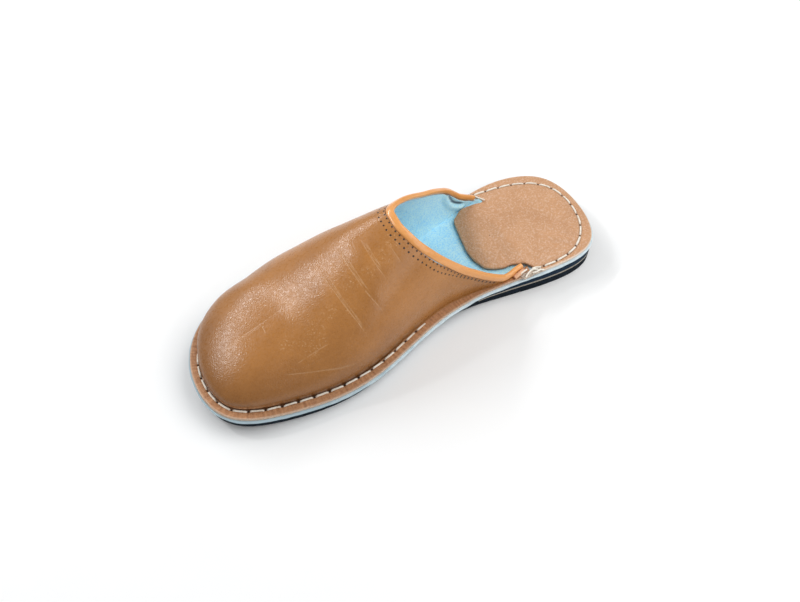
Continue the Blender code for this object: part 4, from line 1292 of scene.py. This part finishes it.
def make_ends(last, colours):
    """Loose thread ends where vamp and heel pad meet, lying over the stitches."""
    tubes = []
    floor = last.flange_top(last.x_of(0.21))
    for points in (
            ((-75.6, -39.4, 0.6), (-78.5, -36.2, 1.9), (-80.8, -32.0, 2.3), (-83.6, -28.6, 2.0)),
            ((-78.0, 34.4, 1.2), (-80.5, 35.2, 1.7), (-83.9, 35.8, 0.7)),
            ((-68.6, 34.6, 1.0), (-71.5, 34.2, 1.8), (-74.6, 33.5, 1.4)),
            ((-70.4, 38.2, 0.9), (-73.5, 36.6, 1.6), (-77.4, 35.6, 1.9), (-81.0, 36.9, 1.2)),
            ((-76.0, 37.5, 1.2), (-78.8, 38.2, 1.8), (-82.0, 37.6, 1.0), (-84.5, 38.4, 0.5))):
        line = [(x * MM, y * MM, floor + z * MM) for x, y, z in points]
        tubes.append(tube(rounded_line(line, 24), last.sizes.thread * 0.42, 8))
    made = join_tubes("thread_ends", tubes)
    dress(made, [], "white_board", waxed_thread("waxed_thread_ends", colours))


def make_scraps(last, colours):
    """Torn, crumpled end of the vamp's flange, and the band's end folded under."""
    chance = random.Random(SEED + 2)
    corners = np.array(((-68.8, 34.3), (-69.6, 38.4), (-83.4, 38.9), (-83.0, 35.2))) * MM
    rows, columns = 40, 16
    points = []
    for i in range(rows + 1):
        for k in range(columns + 1):
            u, v = i / rows, k / columns
            spot = (corners[0] * (1 - u) + corners[3] * u) * (1 - v)
            spot = spot + (corners[1] * (1 - u) + corners[2] * u) * v
            torn = (i in (0, rows)) + (k in (0, columns))
            spot = spot + np.array((chance.uniform(-1, 1), chance.uniform(-1, 1))) * 0.00025 * torn
            points.append((spot[0], spot[1], float(last.flange_top(spot[0]))))
    points = np.array(points)
    points[:, 2] += 0.0005 + 0.0006 * soft_noise(points, 0.0021, 3.0) + 0.0003 * soft_noise(points, 0.0009, 5.0)
    scrap = piece("torn_flange_end", points, skin_faces(rows + 1, columns + 1))
    tidy_mesh(scrap)
    face_up(scrap)
    thicken(scrap, 0.0006)
    dress(scrap, [], "tan_leather", raw_leather("torn_tan_flange_end", colours.scrap_light, colours.scrap_dark))
    floor = float(last.flange_top(last.x_of(0.25)))
    line = [(x * MM, y * MM, floor + z * MM)
            for x, y, z in ((-64.5, 34.2, 1.0), (-67.5, 34.0, 1.6), (-70.8, 33.2, 1.9), (-73.2, 32.4, 1.5))]
    fold = join_tubes("band_fold", [tube(rounded_line(line, 24), 0.0015, 14, 0.6)])
    dress(fold, [], "binding_leather", raw_leather("folded_band_underside", colours.fold_light, colours.fold_dark))


def make_floor(last, colours):
    """Pale paper floor."""
    bpy.ops.mesh.primitive_plane_add(size=4.0, location=(0.0, 0.0, 0.0))
    floor = bpy.context.active_object
    floor.name = "floor"
    floor.data.materials.append(floor_paper(colours))


def area_light(name, direction, distance, sides, power, colour):
    """Rectangular lamp that faces the shoe from a direction."""
    data = bpy.data.lights.new(name, "AREA")
    data.shape = "RECTANGLE"
    data.size, data.size_y = sides
    data.energy = power
    data.color = colour
    lamp = bpy.data.objects.new(name, data)
    heading = Vector(direction).normalized()
    lamp.location = heading * distance
    lamp.rotation_euler = heading.to_track_quat("Z", "Y").to_euler()
    bpy.context.scene.collection.objects.link(lamp)


def make_lights(last, colours):
    """Soft studio light: a strip that draws the vamp's long highlight, a window, and two large panels."""
    scene = bpy.context.scene
    scene.world = bpy.data.worlds.new("studio")
    scene.world.use_nodes = True
    sky = scene.world.node_tree.nodes["Background"]
    sky.inputs["Color"].default_value = (1.0, 1.0, 1.0, 1.0)
    sky.inputs["Strength"].default_value = 0.42
    area_light("strip", (0.35, -0.69, 0.61), 0.95, (0.95, 0.05), 4.1, (0.98, 0.99, 1.0))
    area_light("window", (0.50, -0.46, 0.74), 0.95, (0.07, 0.07), 0.9, (0.98, 0.99, 1.0))
    area_light("overhead", (-0.55, 0.20, 0.82), 1.1, (0.9, 0.9), 5.6, (1.0, 1.0, 1.0))
    area_light("fill", (-0.3, 0.7, 0.45), 1.2, (0.7, 0.7), 2.6, (1.0, 1.0, 1.0))
    scene.view_settings.view_transform = "Standard"


def make_camera(last, colours):
    """The photo's camera, as fitted to the outline of the slipper."""
    azimuth, elevation, roll = (math.radians(angle) for angle in CAMERA_TURNS)
    back = Vector((math.sin(azimuth) * math.cos(elevation), -math.cos(azimuth) * math.cos(elevation),
                   math.sin(elevation)))
    right = Vector((math.cos(azimuth), math.sin(azimuth), 0.0))
    up = back.cross(right)
    turned = Matrix((right * math.cos(roll) - up * math.sin(roll), right * math.sin(roll) + up * math.cos(roll), back))
    data = bpy.data.cameras.new("photo_camera")
    data.sensor_width = 36.0
    data.lens = 36.0
    data.clip_start = 0.01
    data.clip_end = 20.0
    camera = bpy.data.objects.new("photo_camera", data)
    place = Vector(CAMERA_TARGET) + back * CAMERA_AWAY
    camera.matrix_world = Matrix.Translation(place) @ turned.transposed().to_4x4()
    bpy.context.scene.collection.objects.link(camera)
    bpy.context.scene.camera = camera


def size(name, description, metres):
    return bpy.props.FloatProperty(name=name, description=description, default=metres, unit="LENGTH")


def tint(name, description, code):
    return bpy.props.FloatVectorProperty(name=name, description=description, default=hex_colour(code),
                                         subtype="COLOR", size=4, min=0.0, max=1.0)


class SlipperSizes(bpy.types.PropertyGroup):
    """Sizes of the slipper that a user may change"""
    length: size("Length", "Sole edge, heel to toe", 0.2774)
    ball_width: size("Ball width", "Sole edge across the ball", 0.1074)
    instep_rise: size("Instep rise", "Ridge of the vamp over its flange", 0.059)
    toe_spring: size("Toe spring", "Lift of the sole under the toe", 0.007)
    arch_rise: size("Arch rise", "Lift of the sole under the waist", 0.0018)
    outsole_thick: size("Outsole", "Thickness of the outsole", 0.0058)
    layer_thick: size("Layer", "Thickness of the leather layer", 0.001)
    wedge_thick: size("Wedge", "Thickness of the wedge at the heel", 0.0056)
    midsole_thick: size("Midsole", "Thickness of the white midsole", 0.0018)
    insole_thick: size("Insole", "Thickness of the suede sock", 0.0012)
    wall: size("Wall", "Thickness of the vamp", 0.0018)
    lining_thick: size("Lining", "Thickness of the lining", 0.0004)
    clearance: size("Clearance", "Room between layers", 0.0003)
    flange_inset: size("Flange inset", "Sole edge to the flange's edge", 0.0012)
    feather_inset: size("Feather inset", "Sole edge to the foot of the wall", 0.007)
    outsole_inset: size("Outsole inset", "Sole edge to the outsole's edge", 0.0016)
    wedge_inset: size("Wedge inset", "Sole edge to the wedge's edge", 0.0004)
    insole_play: size("Insole play", "Insole edge to the wall", 0.0006)
    binding_width: size("Binding width", "Height of the rolled band", 0.005)
    binding_thick: size("Binding thickness", "Thickness of the rolled band", 0.0034)
    pad_leather: size("Pad leather", "Leather of the heel pad", 0.0018)
    pad_rise: size("Pad filling", "Rise of the filled pad", 0.0022)
    pad_shoulder: size("Pad shoulder", "Width over which the pad rises", 0.011)
    pad_slope: size("Pad slope", "Length over which the pad climbs", 0.006)
    pad_lap: size("Pad lap", "End of the climb before the insole", 0.004)
    thread: size("Thread", "Thickness of the stitching thread", 0.00125)
    stitch_pitch: size("Stitch pitch", "From one awl hole to the next", 0.0094)
    stitch_gap: size("Stitch gap", "Bare leather between two stitches", 0.0009)
    needle_pitch: size("Needle pitch", "From one needle hole to the next", 0.0033)


class SlipperColours(bpy.types.PropertyGroup):
    """Colours of the slipper"""
    vamp_light: tint("Vamp, light", "Lighter tan of the vamp", "B97D3F")
    vamp_dark: tint("Vamp, dark", "Darker tan of the vamp", "A26A31")
    worn: tint("Worn", "Creased and rubbed leather", "E2B98E")
    flange_light: tint("Flange, light", "Lighter tan of the flange", "C9966C")
    flange_dark: tint("Flange, dark", "Darker tan of the flange", "9A6743")
    # painted shade at the foot of the wall and towards the toe
    painted_foot_shade: tint("Burnish", "Darkened leather by the welt", "56300C")
    # painted shade inside the holes and in the stitches' groove
    hole_and_groove_shade: tint("Hole", "Inside of needle and awl holes", "22120A")
    leather_dust: tint("Leather dust", "Pale specks on the pad's grain", "EFD4BF")
    binding_light: tint("Binding, light", "Lighter orange of the band", "EFA860")
    binding_dark: tint("Binding, dark", "Darker orange of the band", "DE9448")
    pad_light: tint("Pad, light", "Lighter tan of the pad", "CF9C72")
    pad_dark: tint("Pad, dark", "Darker tan of the pad", "BC895F")
    # darker towards the foot of the tongue's edge
    dark_tongue_edge: tint("Cut edge", "Edge of the pad's tongue", "4A3A30")
    raw_light: tint("Raw, light", "Lighter flesh side", "E6D2BE")
    raw_dark: tint("Raw, dark", "Darker flesh side", "A98565")
    scrap_light: tint("Scrap, light", "Lighter torn leather", "F2EADF")
    scrap_dark: tint("Scrap, dark", "Darker torn leather", "8A6A4C")
    fold_light: tint("Fold, light", "Lighter underside of the band", "F7CDAA")
    fold_dark: tint("Fold, dark", "Darker underside of the band", "D9976A")
    layer_light: tint("Layer, light", "Lighter heel layer", "C2BBAD")
    layer_dark: tint("Layer, dark", "Darker heel layer", "8C857A")
    suede_light: tint("Sock, light", "Lighter blue of the sock", "D2F8FF")
    suede_dark: tint("Sock, dark", "Darker blue of the sock", "98DEFF")
    lining_light: tint("Lining, light", "Lighter blue of the lining", "D4FBFF")
    lining_dark: tint("Lining, dark", "Darker blue of the lining", "9CE0FF")
    # dark flecks of the suede, and painted shade in the lining's fold
    suede_fleck_and_fold_shade: tint("Suede, fleck", "Dark flecks and folds", "2C465C")
    board: tint("Board", "White midsole", "E4F3FA")
    # greyer midsole, in patches and towards the toe
    board_grey: tint("Board, soiled", "Soiled white midsole", "AEC3CD")
    outsole: tint("Outsole", "Black rubber of the outsole", "08131D")
    outsole_dust: tint("Outsole, dust", "Dust on the outsole", "1A2A38")
    wedge: tint("Wedge", "Slate black rubber of the wedge", "14273A")
    wedge_dust: tint("Wedge, dust", "Dust on the wedge", "22384A")
    thread: tint("Thread", "Clean thread", "F4EEE2")
    thread_soiled: tint("Thread, soiled", "Soiled thread", "CDB99C")
    paper_dark: tint("Paper, dark", "Darker background paper", "F7F8F9")
    paper_light: tint("Paper, light", "Lighter background paper", "FBFBFA")


class Builder:
    """What the operators of the pieces share: each runs its own steps in turn."""
    steps = ()

    def execute(self, context):
        last = Last(context.scene.slipper_sizes)
        for step in self.steps:
            step(last, context.scene.slipper_colours)
        return {"FINISHED"}


class SLIPPER_OT_sole(Builder, bpy.types.Operator):
    """Build the outsole, leather layer, wedge and midsole"""
    bl_idname = "slipper.sole"
    bl_label = "Sole"
    steps = (make_sole,)


class SLIPPER_OT_insole(Builder, bpy.types.Operator):
    """Build the suede insole"""
    bl_idname = "slipper.insole"
    bl_label = "Insole"
    steps = (make_insole,)


class SLIPPER_OT_vamp(Builder, bpy.types.Operator):
    """Build the vamp and its lining"""
    bl_idname = "slipper.vamp"
    bl_label = "Vamp"
    steps = (make_vamp, make_lining)


class SLIPPER_OT_binding(Builder, bpy.types.Operator):
    """Build the rolled collar binding"""
    bl_idname = "slipper.binding"
    bl_label = "Collar binding"
    steps = (make_binding,)


class SLIPPER_OT_pad(Builder, bpy.types.Operator):
    """Build the heel cushion"""
    bl_idname = "slipper.pad"
    bl_label = "Heel pad"
    steps = (make_pad,)


class SLIPPER_OT_thread(Builder, bpy.types.Operator):
    """Sew the flange and the heel, and leave the thread ends and scraps"""
    bl_idname = "slipper.thread"
    bl_label = "Stitches"
    steps = (make_flange_stitches, make_heel_stitches, make_ends, make_scraps)


class SLIPPER_OT_stage(Builder, bpy.types.Operator):
    """Set the floor, lights and camera"""
    bl_idname = "slipper.stage"
    bl_label = "Stage"
    steps = (make_floor, make_lights, make_camera)


class SLIPPER_PT_panel(bpy.types.Panel):
    """Lists the slipper's pieces, sizes and colours"""
    bl_idname = "SLIPPER_PT_panel"
    bl_label = "Babouche slipper"
    bl_space_type = "VIEW_3D"
    bl_region_type = "UI"
    bl_category = "Slipper"

    def draw(self, context):
        for operator in PIECES:
            self.layout.operator(operator.bl_idname)
        for name in SlipperSizes.__annotations__:
            self.layout.prop(context.scene.slipper_sizes, name)
        for name in SlipperColours.__annotations__:
            self.layout.prop(context.scene.slipper_colours, name)


PIECES = (SLIPPER_OT_sole, SLIPPER_OT_insole, SLIPPER_OT_vamp, SLIPPER_OT_binding, SLIPPER_OT_pad,
          SLIPPER_OT_thread, SLIPPER_OT_stage)
CLASSES = (SlipperSizes, SlipperColours, *PIECES, SLIPPER_PT_panel)


def register():
    for kind in CLASSES:
        bpy.utils.register_class(kind)
    bpy.types.Scene.slipper_sizes = bpy.props.PointerProperty(type=SlipperSizes)
    bpy.types.Scene.slipper_colours = bpy.props.PointerProperty(type=SlipperColours)


def unregister():
    del bpy.types.Scene.slipper_colours
    del bpy.types.Scene.slipper_sizes
    for kind in reversed(CLASSES):
        bpy.utils.unregister_class(kind)


def main():
    register()
    bpy.ops.slipper.sole()
    bpy.ops.slipper.insole()
    bpy.ops.slipper.vamp()
    bpy.ops.slipper.binding()
    bpy.ops.slipper.pad()
    bpy.ops.slipper.thread()
    bpy.ops.slipper.stage()


if __name__ == "__main__":
    main()
